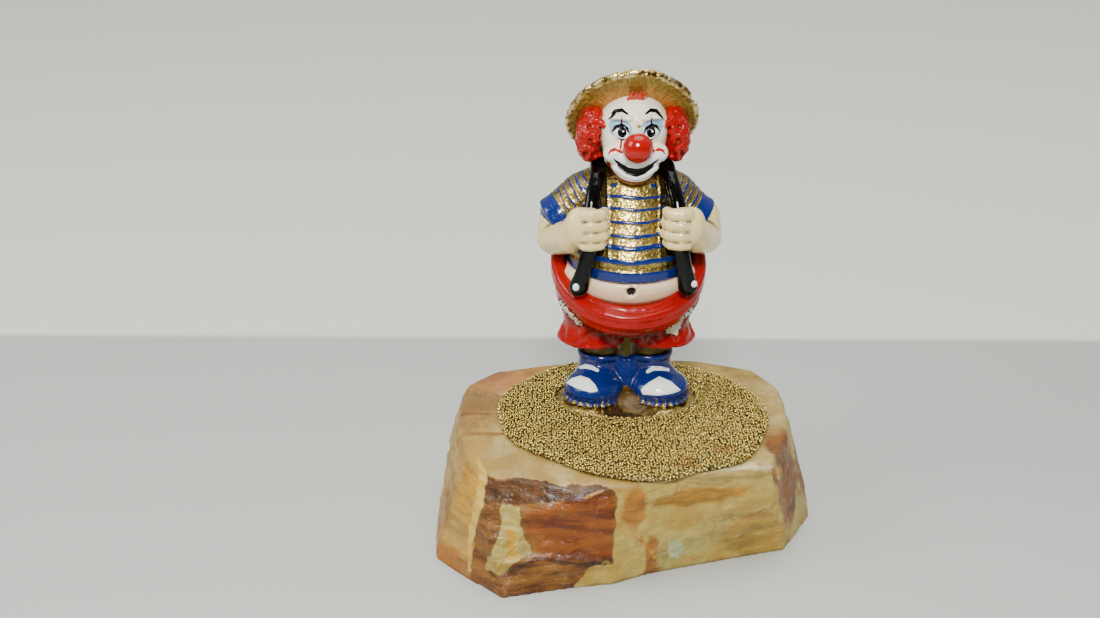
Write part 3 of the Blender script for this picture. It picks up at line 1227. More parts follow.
def core_mesh():
    """The unpainted metal between and inside the trouser legs."""
    between = hull(((0.0, 2.0, 8.0), (6.5, 6.0, 3.0)), ((0.0, 0.5, 34.0), (10.0, 9.0, 3.0)))
    shins = both_sides([hull(((9.3, 1.0, 14.0), (7.0, 6.6, 2.0)), ((10.0, 0.0, 30.0), (8.4, 8.0, 2.0)))])
    mesh = fuse([between, *shins], 0.80, 4)
    push(mesh, 0.2 * noise_of(points_of(mesh), 3.0, 2.0, 2))
    store_hollows(mesh)
    return mesh


class FIGURINE_OT_feet(bpy.types.Operator):
    """Shoes on a puddle of bare metal"""

    bl_idname = "figurine.feet"
    bl_label = "Feet"

    def execute(self, context):
        shade = colours()
        brown, pink, olive = srgb(92, 74, 42), srgb(112, 94, 70), srgb(104, 94, 48)
        puddle = enamel_over_gold("gilt_puddle", None, (("brown", brown), ("pink", pink)), grain=700.0, pits=0.35)
        finish_piece("metal_puddle", puddle_mesh(), puddle)
        layers = (("dark_rim", srgb(24, 20, 24)), ("white", shade.white), ("bare", None))
        shoe_paint = enamel_over_gold("shoe_enamel", tuple(shade.blue), layers, wash=0.3, grain=800.0, pits=0.7, coat=0.2)
        finish_piece("shoes", shoes_mesh(), shoe_paint)
        bare = enamel_over_gold("olive_core", olive, (), wash=0.9)
        finish_piece("leg_core", core_mesh(), bare)
        return {"FINISHED"}


# Trousers.

PATCH_RADIUS = 25.0
# Patches, in mm round the seat from its front and in height.
PATCHES = (
    ((-30.2, 44.0), (-26.2, 43.8), (-24.0, 41.4), (-22.3, 38.0), (-23.5, 35.0), (-26.4, 33.8), (-30.2, 35.0), (-31.3, 39.4)),
    ((25.2, 42.8), (21.2, 40.0), (20.2, 36.0), (21.2, 31.6), (23.8, 29.4), (27.0, 31.2), (28.2, 36.8), (27.0, 41.2)),
)
PATCH_TEETH = 0.6
STITCH_SINK = 0.12


def toothed(points, seed):
    """A patch outline with a frayed edge."""
    rng = random.Random(seed)
    middle = [sum(p[k] for p in points) / len(points) for k in (0, 1)]
    out = []
    for a, b in zip(points, points[1:] + points[:1]):
        length = math.dist(a, b)
        count = max(2, round(length / 1.3))
        for i in range(count):
            t = i / count
            p = [a[k] + (b[k] - a[k]) * t for k in (0, 1)]
            reach = math.dist(p, middle)
            grow = 1.0 + (PATCH_TEETH * (1 if i % 2 else -1) + rng.uniform(-0.3, 0.3)) / reach
            out.append(tuple(middle[k] + (p[k] - middle[k]) * grow for k in (0, 1)))
    return out


def ring_tube(centre, radii, thickness, count=96):
    """A closed roll of cloth in the waist's plane."""
    lean = Matrix.Rotation(WAIST_TILT, 3, "X")
    bm = bmesh.new()
    around_tube = 12
    rings = []
    for i in range(count):
        angle = math.tau * i / count
        out = Vector((radii[0] * math.cos(angle), radii[1] * math.sin(angle), 0.0))
        way = Vector((math.cos(angle) / radii[0], math.sin(angle) / radii[1], 0.0)).normalized()
        ring = []
        for j in range(around_tube):
            turn = math.tau * j / around_tube
            offset = way * math.cos(turn) * thickness + Vector((0.0, 0.0, math.sin(turn) * thickness))
            ring.append(bm.verts.new(Vector(centre) + lean @ (out + offset)))
        rings.append(ring)
    for a, b in zip(rings, rings[1:] + rings[:1]):
        for j in range(around_tube):
            k = (j + 1) % around_tube
            bm.faces.new((a[j], b[j], b[k], a[k]))
    bmesh.ops.recalc_face_normals(bm, faces=bm.faces)
    return bm


def low_fold():
    """A third fold under the waist, thickest at the front and gone at the sides."""
    lean = Matrix.Rotation(WAIST_TILT, 3, "X")
    balls = []
    for degrees in range(-63, 64, 9):
        turn = math.radians(degrees)
        out = Vector((WAIST_RADII[0] * math.sin(turn), -WAIST_RADII[1] * math.cos(turn), 0.0))
        share = math.cos(turn * 1.35)
        balls.append((tuple(WAIST_CENTRE + lean @ out + Vector((0.0, 0.9, -4.2 - 2.0 * share))), 0.7 + 1.1 * share))
    return chain(*balls)


def trouser_forms():
    body = hull(
        ((0.0, -1.0, 46.0), (28.6, 26.6, 17.0)),
        ((0.0, -1.0, 53.0), (29.0, 26.8, 17.0)),
        ((0.0, 1.6, 68.0), (27.4, 24.8, 10.0)),
    )
    up = Matrix.Rotation(WAIST_TILT, 3, "X") @ Vector((0.0, 0.0, 1.0))
    slice_off(body, WAIST_CENTRE, up)
    x, y, z = WAIST_CENTRE
    outer = ring_tube(WAIST_CENTRE, WAIST_RADII, 2.1)
    lower = ring_tube((x, y, z - 3.0), (WAIST_RADII[0] + 0.1, WAIST_RADII[1] + 0.1), 1.9)
    inner = ring_tube((x, y, z + 1.3), (WAIST_RADII[0] - 2.6, WAIST_RADII[1] - 2.6), 1.6)
    crotch = hull(((0.0, -4.0, 29.4), (7.5, 7.5, 2.4)), ((0.0, -3.0, 38.0), (13.0, 14.0, 5.0)))
    flare = hull(((13.3, -0.5, 25.0), (14.1, 13.4, 1.5)), ((12.6, -0.5, 31.0), (12.0, 11.8, 2.0)))
    thigh = hull(((12.8, -0.5, 31.0), (11.5, 11.6, 3.0)), ((12.0, -0.5, 44.0), (15.0, 15.0, 6.0)))
    folds = [
        hull(((5.5 + 6.5 * i, -11.0 + 1.2 * abs(i - 1), 25.8), 2.2), ((8.0 + 4.5 * i, -11.0, 33.0), 1.6))
        for i in range(3)
    ]
    return [body, outer, lower, inner, *low_fold(), crotch, *both_sides([flare, thigh, *folds])]


def trousers_mesh():
    mesh = fuse(trouser_forms(), 0.58, 9)
    co = points_of(mesh)
    up = Matrix.Rotation(WAIST_TILT, 3, "X") @ Vector((0.0, 0.0, 1.0))
    below_rim = (co - np.array(WAIST_CENTRE)) @ np.array(up)
    angle = np.arctan2(co[:, 0], -co[:, 1])
    lip = ramp(below_rim, -6.0, -2.5)
    legs = ramp(36.0 - co[:, 2], 0.0, 8.0)
    seat = (1.0 - lip) * (1.0 - legs)
    folds = noise_of(np.stack([co[:, 0], co[:, 1], co[:, 2] * 0.35], 1), 8.0, 1.0, 2)
    hang = noise_of(np.stack([np.sin(angle) * 9.0, np.cos(angle) * 9.0, below_rim * 0.18], 1), 2.2, 3.0, 2)
    ridges = np.abs(noise_of(np.stack([co[:, 0] * 0.5, co[:, 1] * 0.5, below_rim * 1.6], 1), 4.0, 8.0))
    lumps = noise_of(co, 3.0, 4.0, 2)
    leg_turn = np.arctan2(np.abs(co[:, 0]) - 13.0, -co[:, 1])
    pleats = np.cos(leg_turn * 9.0 + 3.0 * noise_of(co, 9.0, 6.0))
    amount = 0.55 * folds * seat + 0.5 * hang * seat + 0.28 * lumps * legs + 0.12 * lumps * (1.0 - legs)
    amount += 0.30 * pleats * legs * ramp(co[:, 2], 23.0, 27.0) - 0.04 * ridges * lip
    s, z = around(co, 0.0, 0.0, PATCH_RADIUS)
    patch = np.full(len(co), -9.0)
    for number, outline in enumerate(PATCHES):
        patch = np.maximum(patch, polygon_field(s, z, toothed(list(outline), number)))
    amount += 0.30 * ramp(patch, -0.25, 0.35)
    push(mesh, amount)
    store_hollows(mesh)
    store(mesh, "patch", patch)
    deep = ellipse_field(co[:, 0], co[:, 2], (0.0, 33.4), (12.5, 4.8))
    store(mesh, "deep", np.where(co[:, 1] < -4.0, 0.03 * deep, -9.0))
    return mesh


def stitch_tree():
    """Geometry nodes: short stitches across a line, each turned to it."""
    tree = bpy.data.node_groups.new("Stitches along a line", "GeometryNodeTree")
    tree.interface.new_socket("Geometry", in_out="INPUT", socket_type="NodeSocketGeometry")
    for label, default in (("Gap", 2.0), ("Length", 2.2), ("Thickness", 0.3)):
        tree.interface.new_socket(label, in_out="INPUT", socket_type=FLOAT).default_value = default
    tree.interface.new_socket("Material", in_out="INPUT", socket_type="NodeSocketMaterial")
    tree.interface.new_socket("Geometry", in_out="OUTPUT", socket_type="NodeSocketGeometry")
    given = tree.nodes.new("NodeGroupInput").outputs
    out = tree.nodes.new("NodeGroupOutput")
    curve = add_node(tree, "GeometryNodeMeshToCurve", None, {"Mesh": given["Geometry"]}).outputs[0]
    points = add_node(tree, "GeometryNodeCurveToPoints", {"mode": "LENGTH"}, {"Curve": curve, "Length": given["Gap"]})
    ball_node = add_node(tree, "GeometryNodeMeshUVSphere", None, {"Segments": 8, "Rings": 5, "Radius": 0.5}).outputs[0]
    length = add_node(tree, "FunctionNodeRandomValue", {"data_type": "FLOAT"}, {2: 0.75, 3: 1.25, "Seed": 4}).outputs[1]
    long = math_geo(tree, "MULTIPLY", length, given["Length"])
    scale = add_node(tree, "ShaderNodeCombineXYZ", None, {"X": long, "Y": given["Thickness"], "Z": given["Thickness"]}).outputs[0]
    spread = add_node(tree, "GeometryNodeInstanceOnPoints", None, {"Points": points.outputs["Points"], "Instance": ball_node})
    tree.links.new(points.outputs["Rotation"], spread.inputs["Rotation"])
    tree.links.new(scale, spread.inputs["Scale"])
    real = add_node(tree, "GeometryNodeRealizeInstances", None, {"Geometry": spread.outputs[0]}).outputs[0]
    done = add_node(tree, "GeometryNodeSetMaterial", None, {"Geometry": real, "Material": given["Material"]}).outputs[0]
    tree.links.new(done, out.inputs[0])
    return tree


def patch_line(mesh, outline):
    """The patch's outline laid on the cloth, as a mesh of edges."""
    tree = tree_of(mesh)
    bm = bmesh.new()
    verts = []
    path = list(outline)
    steps = 5
    for a, b in zip(path, path[1:] + path[:1]):
        for i in range(steps):
            t = i / steps
            s, z = (a[k] + (b[k] - a[k]) * t for k in (0, 1))
            turn = s / PATCH_RADIUS
            way = Vector((math.sin(turn), -math.cos(turn), 0.0))
            hit = tree.ray_cast(way * 60.0 + Vector((0.0, 0.0, z)), -way)[0]
            verts.append(bm.verts.new(hit + way * -STITCH_SINK))
    for a, b in zip(verts, verts[1:] + verts[:1]):
        bm.edges.new((a, b))
    return mesh_from(bm, "line")


def tree_of(mesh):
    bm = bmesh.new()
    bm.from_mesh(mesh)
    tree = BVHTree.FromBMesh(bm)
    bm.free()
    return tree


def belly_mesh():
    mesh = fuse([ball((0.0, -2.6, 57.0), (26.2, 23.6, 17.0))], 0.66, 3)
    co = points_of(mesh)
    co[:, :2] *= 1.0 - 0.12 * ramp(co[:, 2], 54.5, 58.5)[:, None]
    move_points(mesh, co)
    away = np.hypot(co[:, 0] + 1.0, (co[:, 2] - 52.9) / 1.25)
    front = co[:, 1] < 0.0
    dip = np.where(front, 1.8 * ramp(2.0 - away, 0.0, 0.5), 0.0)
    rim = np.where(front, 0.12 * ramp(1.0 - np.abs(away - 2.6), 0.0, 1.0), 0.0)
    push(mesh, rim - dip + 0.10 * noise_of(co, 6.0, 2.0, 2))
    store_hollows(mesh)
    store(mesh, "navel", np.where(front, 1.75 - away, -9.0))
    store(mesh, "flush", -3.0 + 2.2 * noise_of(co, 7.0, 5.0, 2) + ramp(np.abs(co[:, 0]), 17.0, 24.0) * 3.0)
    return mesh


class FIGURINE_OT_trousers(bpy.types.Operator):
    """Baggy trousers with two patches, and the belly above them"""

    bl_idname = "figurine.trousers"
    bl_label = "Trousers and belly"

    def execute(self, context):
        shade = colours()
        mesh = trousers_mesh()
        thread = enamel_over_gold("stitch_enamel", tuple(shade.black))
        tree = stitch_tree()
        values = {"Gap": sizes().stitch_gap / MM, "Length": 2.1, "Thickness": 0.7, "Material": thread}
        for outline, label in zip(PATCHES, ("left", "right")):
            stitches = run_tree("stitches", patch_line(mesh, outline), tree, values)
            finish_piece(f"stitches_{label}", stitches, thread)
        layers = (("deep", srgb(84, 0, 2)), ("patch", srgb(226, 222, 196)))
        red = enamel_over_gold("trouser_enamel", tuple(shade.red), layers, wash=0.3, coat=0.12, bump=0.12, specular=0.3)
        finish_piece("trousers", mesh, red)
        flesh = srgb(255, 222, 182)
        layers = (("flush", srgb(250, 206, 172)), ("navel", srgb(16, 10, 6)))
        finish_piece("belly", belly_mesh(), enamel_over_gold("belly_enamel", flesh, layers, wash=0.4))
        return {"FINISHED"}


# Shirt, arms and braces.

# Stripes round the shirt: height and half width in mm.
STRIPES = ((86.3, 0.5), (82.4, 0.4), (78.1, 0.45), (73.5, 0.55), (69.6, 0.8), (64.8, 0.9))
SHORT_STRIPE = 90.1
HEM_BAND = (58.4, 2.6)
SHOULDER = Vector((9.0, 0.0, 88.0))
CUFF = Vector((26.6, -1.4, 74.6))
SLEEVE_RINGS = (5.4, 8.6, 11.4, 14.2, 16.8)
CUFF_START = 18.9
SLEEVE_WAY = (CUFF - SHOULDER).normalized()


def sleeve_forms(draw_in):
    """A short sleeve and its turned-up cuff."""
    middle = ((17.5 - 0.5 * draw_in, 0.0, 83.2), (8.8, 9.4, 8.2))
    shoulder = hull((tuple(SHOULDER), (8.0, 9.0, 7.0)), middle)
    upper = hull(middle, ((26.0 - draw_in, -1.2, 76.2), (8.0, 8.6, 8.0)))
    lean = Matrix.Rotation(math.radians(38.0), 4, "Y")
    cuff = bmesh.new()
    for along, radius in ((-2.4, 8.9), (2.2, 9.3)):
        offset = lean.to_3x3() @ Vector((along, 0.0, 0.0)) - Vector((draw_in, 0.0, 0.0))
        add_ball(cuff, CUFF + offset, (1.0, radius, radius), lean)
    keep_hull(cuff)
    return [shoulder, upper, cuff]


def shirt_forms():
    trunk = hull(((0.0, -3.0, 64.0), (22.8, 23.4, 10.0)), ((0.0, -1.0, 84.0), (18.0, 14.8, 12.0)))
    slice_off(trunk, (0.0, 0.0, HEM_HEIGHT), (0.0, 0.0, -1.0))
    hem = hull(
        ((0.0, -3.0, HEM_HEIGHT + 0.8), (23.4, 24.0, 0.8)),
        ((0.0, -3.0, HEM_HEIGHT + 5.2), (23.2, 23.8, 1.2)),
    )
    neck = ball((0.0, -1.0, 94.0), (9.5, 9.5, 7.0))
    return [trunk, hem, neck, *sleeve_forms(SLEEVE_DRAW_IN), *mirrored(sleeve_forms(0.0))]


def shirt_mesh():
    mesh = fuse(shirt_forms(), 0.50, 3)
    co = points_of(mesh)
    x, z = np.abs(co[:, 0]), co[:, 2]
    drawn = np.where(co[:, 0] > 0.0, SLEEVE_DRAW_IN * ramp(x, 9.0, 26.0), 0.0)
    x = x + drawn
    arm_place = np.stack([x, co[:, 1], z], 1) - np.array(SHOULDER)
    along = arm_place @ np.array(SLEEVE_WAY)
    on_sleeve = np.minimum(x - 15.5 + 0.5 * (z - 76.0), 3.0)
    wave = 0.45 * noise_of(co * np.array([1.0, 1.0, 0.3]), 7.0, 1.0, 2) + 0.15 * noise_of(co, 1.8, 2.0)
    uneven = 0.30 * noise_of(co, 4.0, 5.0, 2)
    rings = np.full(len(co), -9.0)
    for height, half in STRIPES:
        rings = np.maximum(rings, half + uneven * 0.5 - np.abs(z + wave - height))
    bits = np.where(np.abs(x - 8.0) < 1.9, 0.6 - np.abs(z + wave - SHORT_STRIPE), -9.0)
    rings = np.maximum(rings, bits)
    rings = np.maximum(rings, HEM_BAND[1] - np.abs(z + 0.5 * wave - HEM_BAND[0]))
    arm_rings = np.full(len(co), -9.0)
    for place in SLEEVE_RINGS:
        arm_rings = np.maximum(arm_rings, 0.38 + uneven * 0.6 - np.abs(along + 1.6 * wave - place))
    cross = 0.3 - np.abs(noise_of(co, 8.0, 11.0)) * 9.0
    arm_rings = np.maximum(arm_rings, np.where((along < 12.0) & (along > 4.0), cross, -9.0))
    arm_rings = np.maximum(arm_rings, along + 0.3 * wave - CUFF_START)
    blue = np.where(on_sleeve > 0.0, arm_rings, rings)
    gold = ramp(-blue, -0.1, 0.4)
    hammered = cells_of(co, 0.95, 1.0) + 0.5 * cells_of(co, 0.6, 2.0)
    ridge = 0.45 * ramp(0.9 - np.abs(x - 9.6 - 0.5 * wave), 0.0, 0.9) * ramp(z, 60.0, 70.0) * (co[:, 1] < 0.0)
    seam = 0.18 * ramp(0.5 - np.abs(z - 61.6), 0.0, 0.5) * (on_sleeve < 0.0)
    brushed = 0.10 * noise_of(co * np.array([1.0, 1.0, 2.0]), 2.0, 7.0)
    push(mesh, gold * (0.22 - 0.42 * hammered) + ridge - seam + brushed + 0.12 * ramp(blue, 0.0, 0.4))
    store_hollows(mesh, 4)
    store(mesh, "blue", blue)
    underline = np.where((on_sleeve < 0.0) & (z < 60.0), 0.35 - np.abs(z - 56.0), -9.0)
    store(mesh, "hem_line", underline)
    return mesh


def arm_forms():
    elbow = ((28.4, -2.0, 66.6), 6.9)
    limb = chain(((27.0, -1.6, 74.0), 7.4), elbow, ((23.2, -17.0, 71.5), 5.8), ((20.5, -20.5, 76.0), 6.2))
    back_of_hand = hull(((20.6, -22.4, 77.4), (5.2, 5.0, 7.4)), ((15.5, -22.9, 77.5), (4.4, 4.6, 7.2)))
    fingers = []
    for height, thickness, reach in ((83.0, 2.3, 0.0), (78.9, 2.35, -0.4), (74.9, 2.25, -0.6), (71.3, 1.95, 0.2)):
        knuckle = ((18.6, -25.2, height - 0.2), thickness)
        middle = ((16.4, -26.4, height), thickness)
        bend = ((12.6 + reach, -25.6, height + 0.1), thickness * 0.94)
        tip = ((11.4 + reach, -22.6, height + 0.1), thickness * 0.88)
        fingers += chain(knuckle, middle, bend, tip)
    thumb = chain(((15.0, -19.6, 81.8), 2.2), ((11.9, -20.8, 81.0), 2.0), ((11.2, -22.2, 79.4), 1.8))
    return [*limb, back_of_hand, *fingers, *thumb]


def arms_mesh():
    mesh = fuse(both_sides(arm_forms()), MEDIUM, 3, whole=False)
    co = points_of(mesh)
    push(mesh, 0.12 * noise_of(co, 5.0, 2.0, 2))
    store_hollows(mesh, 8)
    return mesh


BRACE_PATH = (
    ((11.0, 23.6, 66.0), (3.2, 2.2, 2.0)),
    ((11.5, 19.0, 77.0), (3.0, 2.4, 2.0)),
    ((12.0, 12.6, 87.0), (2.9, 2.4, 2.0)),
    ((12.4, 5.0, 95.4), (2.8, 2.4, 2.0)),
    ((12.8, -5.0, 96.0), (2.8, 2.2, 1.8)),
    ((13.6, -12.0, 92.6), (2.8, 2.0, 1.6)),
    ((15.6, -18.2, 85.4), (2.8, 2.0, 1.6)),
    ((16.4, -22.0, 77.0), (2.9, 2.2, 1.6)),
    ((17.0, -23.6, 69.0), (3.0, 1.9, 1.6)),
    ((18.6, -23.8, 61.0), (3.1, 1.9, 1.6)),
    ((20.2, -22.6, 54.2), (3.8, 2.1, 3.8)),
)


def braces_mesh():
    centres = smooth_path([p for p, _ in BRACE_PATH], 3)
    radii = smooth_path([r for _, r in BRACE_PATH], 3)
    forms = chain(*[(tuple(c), tuple(r)) for c, r in zip(centres, radii)])
    for (a, _), (b, _) in zip(BRACE_PATH, BRACE_PATH[1:]):
        inner = [(p[0], p[1] * 0.82, min(p[2], 91.0 + (p[2] - 91.0) * 0.3)) for p in (a, b)]
        forms.append(hull((inner[0], (2.0, 4.0, 2.0)), (inner[1], (2.0, 4.0, 2.0))))
    mesh = fuse(both_sides(forms), 0.50, 5, whole=False)
    co = points_of(mesh)
    upper = ramp(co[:, 2], 80.0, 88.0)
    wrinkles = noise_of(co * np.array([0.6, 1.0, 1.6]), 2.6, 3.0, 2)
    push(mesh, 0.09 * wrinkles * upper + 0.06 * noise_of(co, 3.0, 5.0))
    store_hollows(mesh)
    return mesh


def buttons_mesh():
    forms = [ball((-21.4, -24.9, 55.0), (1.3, 1.1, 1.5)), ball((22.2, -24.5, 55.8), (1.2, 1.1, 1.4))]
    mesh = fuse(forms, 0.2, 2, whole=False)
    store_hollows(mesh, 3)
    return mesh


class FIGURINE_OT_shirt(bpy.types.Operator):
    """Hammered shirt with painted stripes, the arms and the braces they hold"""

    bl_idname = "figurine.shirt"
    bl_label = "Shirt, arms and braces"

    def execute(self, context):
        shade = colours()
        layers = (("blue", shade.blue), ("hem_line", srgb(120, 66, 40)))
        cloth = enamel_over_gold("striped_plating", None, layers, wash=0.5, coat=0.2, bump=0.35, grain=1500.0, pits=0.8)
        finish_piece("shirt", shirt_mesh(), cloth)
        skin = enamel_over_gold("arm_enamel", tuple(shade.cream), (), wash=0.85)
        finish_piece("arms", arms_mesh(), skin)
        strap = enamel_over_gold("brace_enamel", tuple(shade.black), (), wash=0.0, coat=0.12, bump=0.1, specular=0.2, gloss=0.09)
        finish_piece("braces", braces_mesh(), strap)
        finish_piece("buttons", buttons_mesh(), enamel_over_gold("button_enamel", tuple(shade.white)))
        return {"FINISHED"}


# Head, false nose, hair and hat.

CURL_SEED = 5
HAIR_SINK = 0.5
CURL_COUNT = 32
CURL_CENTRE = Vector((15.5, -4.2, 106.4))
CURL_REACH = Vector((4.3, 5.8, 8.2))
MUZZLE = (0.0, 98.9)
SMILE = ((-8.0, 101.4), (-5.6, 98.9), (-3.0, 97.4), (0.0, 96.9), (3.0, 97.4), (5.6, 98.9), (8.0, 101.4))
SMILE_WIDTHS = (0.25, 0.85, 1.25, 1.4, 1.25, 0.85, 0.25)


def head_forms():
    skull = hull(((0.0, -4.5, 110.5), (12.9, 12.6, 12.6)), ((0.0, -8.6, 101.0), (10.8, 11.4, 9.4)))
    forms = [skull, ball((0.0, -1.0, 94.0), (8.8, 8.8, 6.0))]
    pairs = [
        ball((7.2, -15.6, 103.2), (4.6, 4.4, 3.9)),
        ball((3.4, -17.8, 102.2), (3.9, 3.0, 2.9)),
        hull(((2.8, -15.5, 115.7), (1.5, 1.5, 1.1)), ((8.6, -12.9, 115.8), (1.5, 1.5, 1.1))),
        ball((EYE_APART, -14.9, EYE_HEIGHT), (2.9, 2.2, 2.3)),
        ball((12.9, -3.5, 108.5), (2.0, 3.0, 3.6)),
    ]
    lip = chain(*[((x, -18.9 + abs(x) * 0.34, 94.9 + x * x * 0.062), (1.5, 1.4, 1.2)) for x in (-7, -3.5, 0, 3.5, 7)])
    jaw = hull(((0.0, -8.6, 101.0), (10.8, 11.4, 9.4)), ((0.0, -13.6, 95.8), (7.0, 6.0, 4.9)))
    return [*forms, *both_sides(pairs), *lip, jaw]


def head_mesh():
    mesh = fuse(head_forms(), FINE, 5)
    co = points_of(mesh)
    x, z = co[:, 0], co[:, 2]
    front = co[:, 1] < -6.0
    side = np.abs(x)
    smile = np.where(front, stroke_field(x, z, SMILE, SMILE_WIDTHS), -9.0)
    fold = stroke_field(side, z, ((4.6, 104.4), (7.6, 103.0), (9.6, 99.8)), (0.4, 0.5, 0.3))
    socket = ellipse_field(side, z, (EYE_APART, EYE_HEIGHT), (4.1, 3.6))
    depth = 0.75 * ramp(smile, -0.5, 0.5) + 0.25 * ramp(fold, -0.4, 0.3) * front
    depth += 0.35 * ramp(socket, -0.5, 0.2) * ramp(-socket, -0.9, 0.2) * front
    push(mesh, 0.05 * noise_of(co, 4.0, 2.0, 2) - depth)
    store_hollows(mesh, 6)

    def paint(name, values):
        store(mesh, name, np.where(front, values, -9.0))

    muzzle = ellipse_field(x, z, MUZZLE, (9.2, 6.0))
    muzzle = np.maximum(muzzle, ellipse_field(side, z, (7.6, 102.0), (3.6, 3.2), -0.4))
    paint("muzzle", muzzle)
    paint("jaw_line", np.where(z < 100.5, 0.42 - np.abs(muzzle + 0.15), -9.0))
    chin_shade = np.minimum(-muzzle - 0.5, 95.0 - z)
    paint("under_jaw", np.where(z < 96.5, chin_shade, -9.0))
    shadow = ellipse_field(side, z, (5.8, 112.2), (4.0, 3.5), 0.1)
    paint("eye_shadow", shadow + 0.25 * noise_of(co, 1.5, 3.0))
    paint("eye_white", ellipse_field(side, z, (5.5, 110.9), (2.8, 2.3)))
    pupil = ellipse_field(side, z, (5.2, 111.0), (1.6, 1.95))
    upper_lid = stroke_field(side, z, ((2.5, 110.4), (3.5, 112.6), (5.4, 113.4), (7.4, 112.7), (8.8, 110.4)), (0.15, 0.45, 0.55, 0.45, 0.12))
    lower_lid = stroke_field(side, z, ((3.6, 108.8), (5.3, 108.3), (7.2, 108.9)), (0.12, 0.32, 0.12))
    brow = stroke_field(side, z, ((3.2, 117.2), (5.2, 118.2), (7.4, 117.6), (9.2, 115.8), (9.9, 114.4)), (0.3, 0.6, 0.55, 0.34, 0.1))
    lash = stroke_field(side, z, ((5.4, 113.4), (5.4, 114.8)), (0.3, 0.1))
    paint("black", np.maximum.reduce([smile, pupil, upper_lid, lower_lid, brow, lash]))
    paint("glint", ellipse_field(x, z, (5.6, 111.4), (0.38, 0.38)))
    glint_left = ellipse_field(x, z, (-4.8, 111.4), (0.38, 0.38))
    paint("glint_left", glint_left)
    up_stroke = stroke_field(side, z, ((5.4, 114.4), (5.3, 116.8)), (0.4, 0.1))
    down_stroke = stroke_field(side, z, ((5.4, 108.2), (5.6, 106.4), (6.1, 104.9)), (0.3, 0.42, 0.22))
    cheek = stroke_field(side, z, ((3.9, 104.3), (5.8, 104.6), (7.8, 105.4), (9.4, 104.9), (10.3, 103.2)), (0.15, 0.38, 0.5, 0.45, 0.1))
    paint("red", np.maximum.reduce([up_stroke, down_stroke, cheek]))
    paint("chip", ellipse_field(x, z, (0.7, 113.2), (0.8, 0.6)) + 0.3 * noise_of(co, 0.7, 9.0))
    return mesh


def nose_mesh():
    mesh = fuse([ball(NOSE_CENTRE, NOSE_RADIUS)], FINE, 2)
    push(mesh, 0.05 * noise_of(points_of(mesh), 3.0, 2.0))
    store_hollows(mesh, 3)
    return mesh


def curl(rng, centre, out):
    """One lock: a short hook of hair that lies on the bunch and turns back on itself."""
    side = out.cross(Vector((rng.uniform(-1, 1), rng.uniform(-1, 1), rng.uniform(-1, 1)))).normalized()
    lead = out.cross(side).normalized()
    reach = rng.uniform(1.5, 2.2)
    thick = rng.uniform(1.05, 1.4)
    hand = rng.choice(SIDES)
    points = []
    for i in range(6):
        turn = hand * i / 5 * rng.uniform(3.6, 4.4)
        spread = reach * (1.0 - 0.12 * i)
        offset = side * math.cos(turn) * spread + lead * math.sin(turn) * spread + out * (0.12 * i)
        points.append((tuple(centre + offset), thick * (1.0 - 0.06 * i)))
    return chain(*points)


def hair_forms():
    rng = random.Random(CURL_SEED)
    forms = [ball(CURL_CENTRE, (4.0, 5.2, 8.0)), hull(((13.2, -6.5, 114.4), 2.4), ((15.0, -2.0, 117.2), 2.4))]
    golden = math.pi * (3.0 - math.sqrt(5.0))
    for i in range(CURL_COUNT):
        level = 1.0 - 2.0 * (i + 0.5) / CURL_COUNT
        spread = math.sqrt(1.0 - level * level)
        way = Vector((spread * math.cos(golden * i), spread * math.sin(golden * i), level))
        if way.x < -0.55:
            continue
        centre = CURL_CENTRE + Vector((way.x * CURL_REACH.x, way.y * CURL_REACH.y, way.z * CURL_REACH.z))
        forms += curl(rng, centre, way)
    for x, y, z in ((13.4, -8.6, 113.8), (15.0, -7.0, 115.2), (16.4, -4.0, 116.4), (13.0, -9.6, 111.4)):
        forms += curl(rng, Vector((x, y, z)), Vector((0.4, -0.8, 0.4)).normalized())
    return forms


def hair_mesh():
    """The two bunches, pressed flat where the hat's brim lies on them."""
    mesh = fuse(both_sides(hair_forms()), 0.40, 2, whole=False)
    mesh.transform(HAT_PLACE.inverted())
    co = points_of(mesh)
    towards_front = np.minimum(co[:, 1] / BRIM_RADIUS, 0.0)
    brim_under = BRIM_LIFT * towards_front**2 - BRIM_HALF + HAIR_SINK
    co[:, 2] = np.minimum(co[:, 2], brim_under)
    move_points(mesh, co)
    mesh.transform(HAT_PLACE)
    store_hollows(mesh, 5)
    return mesh


def tuft_mesh():
    rng = random.Random(CURL_SEED)
    forms = []
    for i in range(9):
        x = -2.9 + 0.66 * i + rng.uniform(-0.3, 0.3)
        lean = rng.uniform(0.4, 1.9)
        tall = rng.uniform(1.0, 2.4)
        thick = rng.uniform(0.32, 0.56)
        start = ((x, -10.1, 121.2), (thick, 0.7, 0.7))
        middle = ((x + lean * 0.6, -11.2, 122.2 + tall * 0.6), (thick, 0.5, 0.5))
        forms += chain(start, middle, ((x + lean, -12.2, 122.6 + tall), 0.25))
    mesh = fuse(forms, 0.2, 1, whole=False)
    store_hollows(mesh, 4)
    return mesh


def turned(profile, steps=96):
    """A profile of (radius, height) spun about the Z axis into a closed form."""
    bm = bmesh.new()
    start, *inner, end = profile
    poles = [bm.verts.new((0.0, 0.0, start[1])), bm.verts.new((0.0, 0.0, end[1]))]
    rings = [
        [bm.verts.new((r * math.cos(math.tau * i / steps), r * math.sin(math.tau * i / steps), h)) for i in range(steps)]
        for r, h in inner
    ]
    for i in range(steps):
        j = (i + 1) % steps
        bm.faces.new((poles[0], rings[0][i], rings[0][j]))
        bm.faces.new((poles[1], rings[-1][j], rings[-1][i]))
        for a, b in zip(rings, rings[1:]):
            bm.faces.new((a[i], b[i], b[j], a[j]))
    bmesh.ops.recalc_face_normals(bm, faces=bm.faces)
    return bm


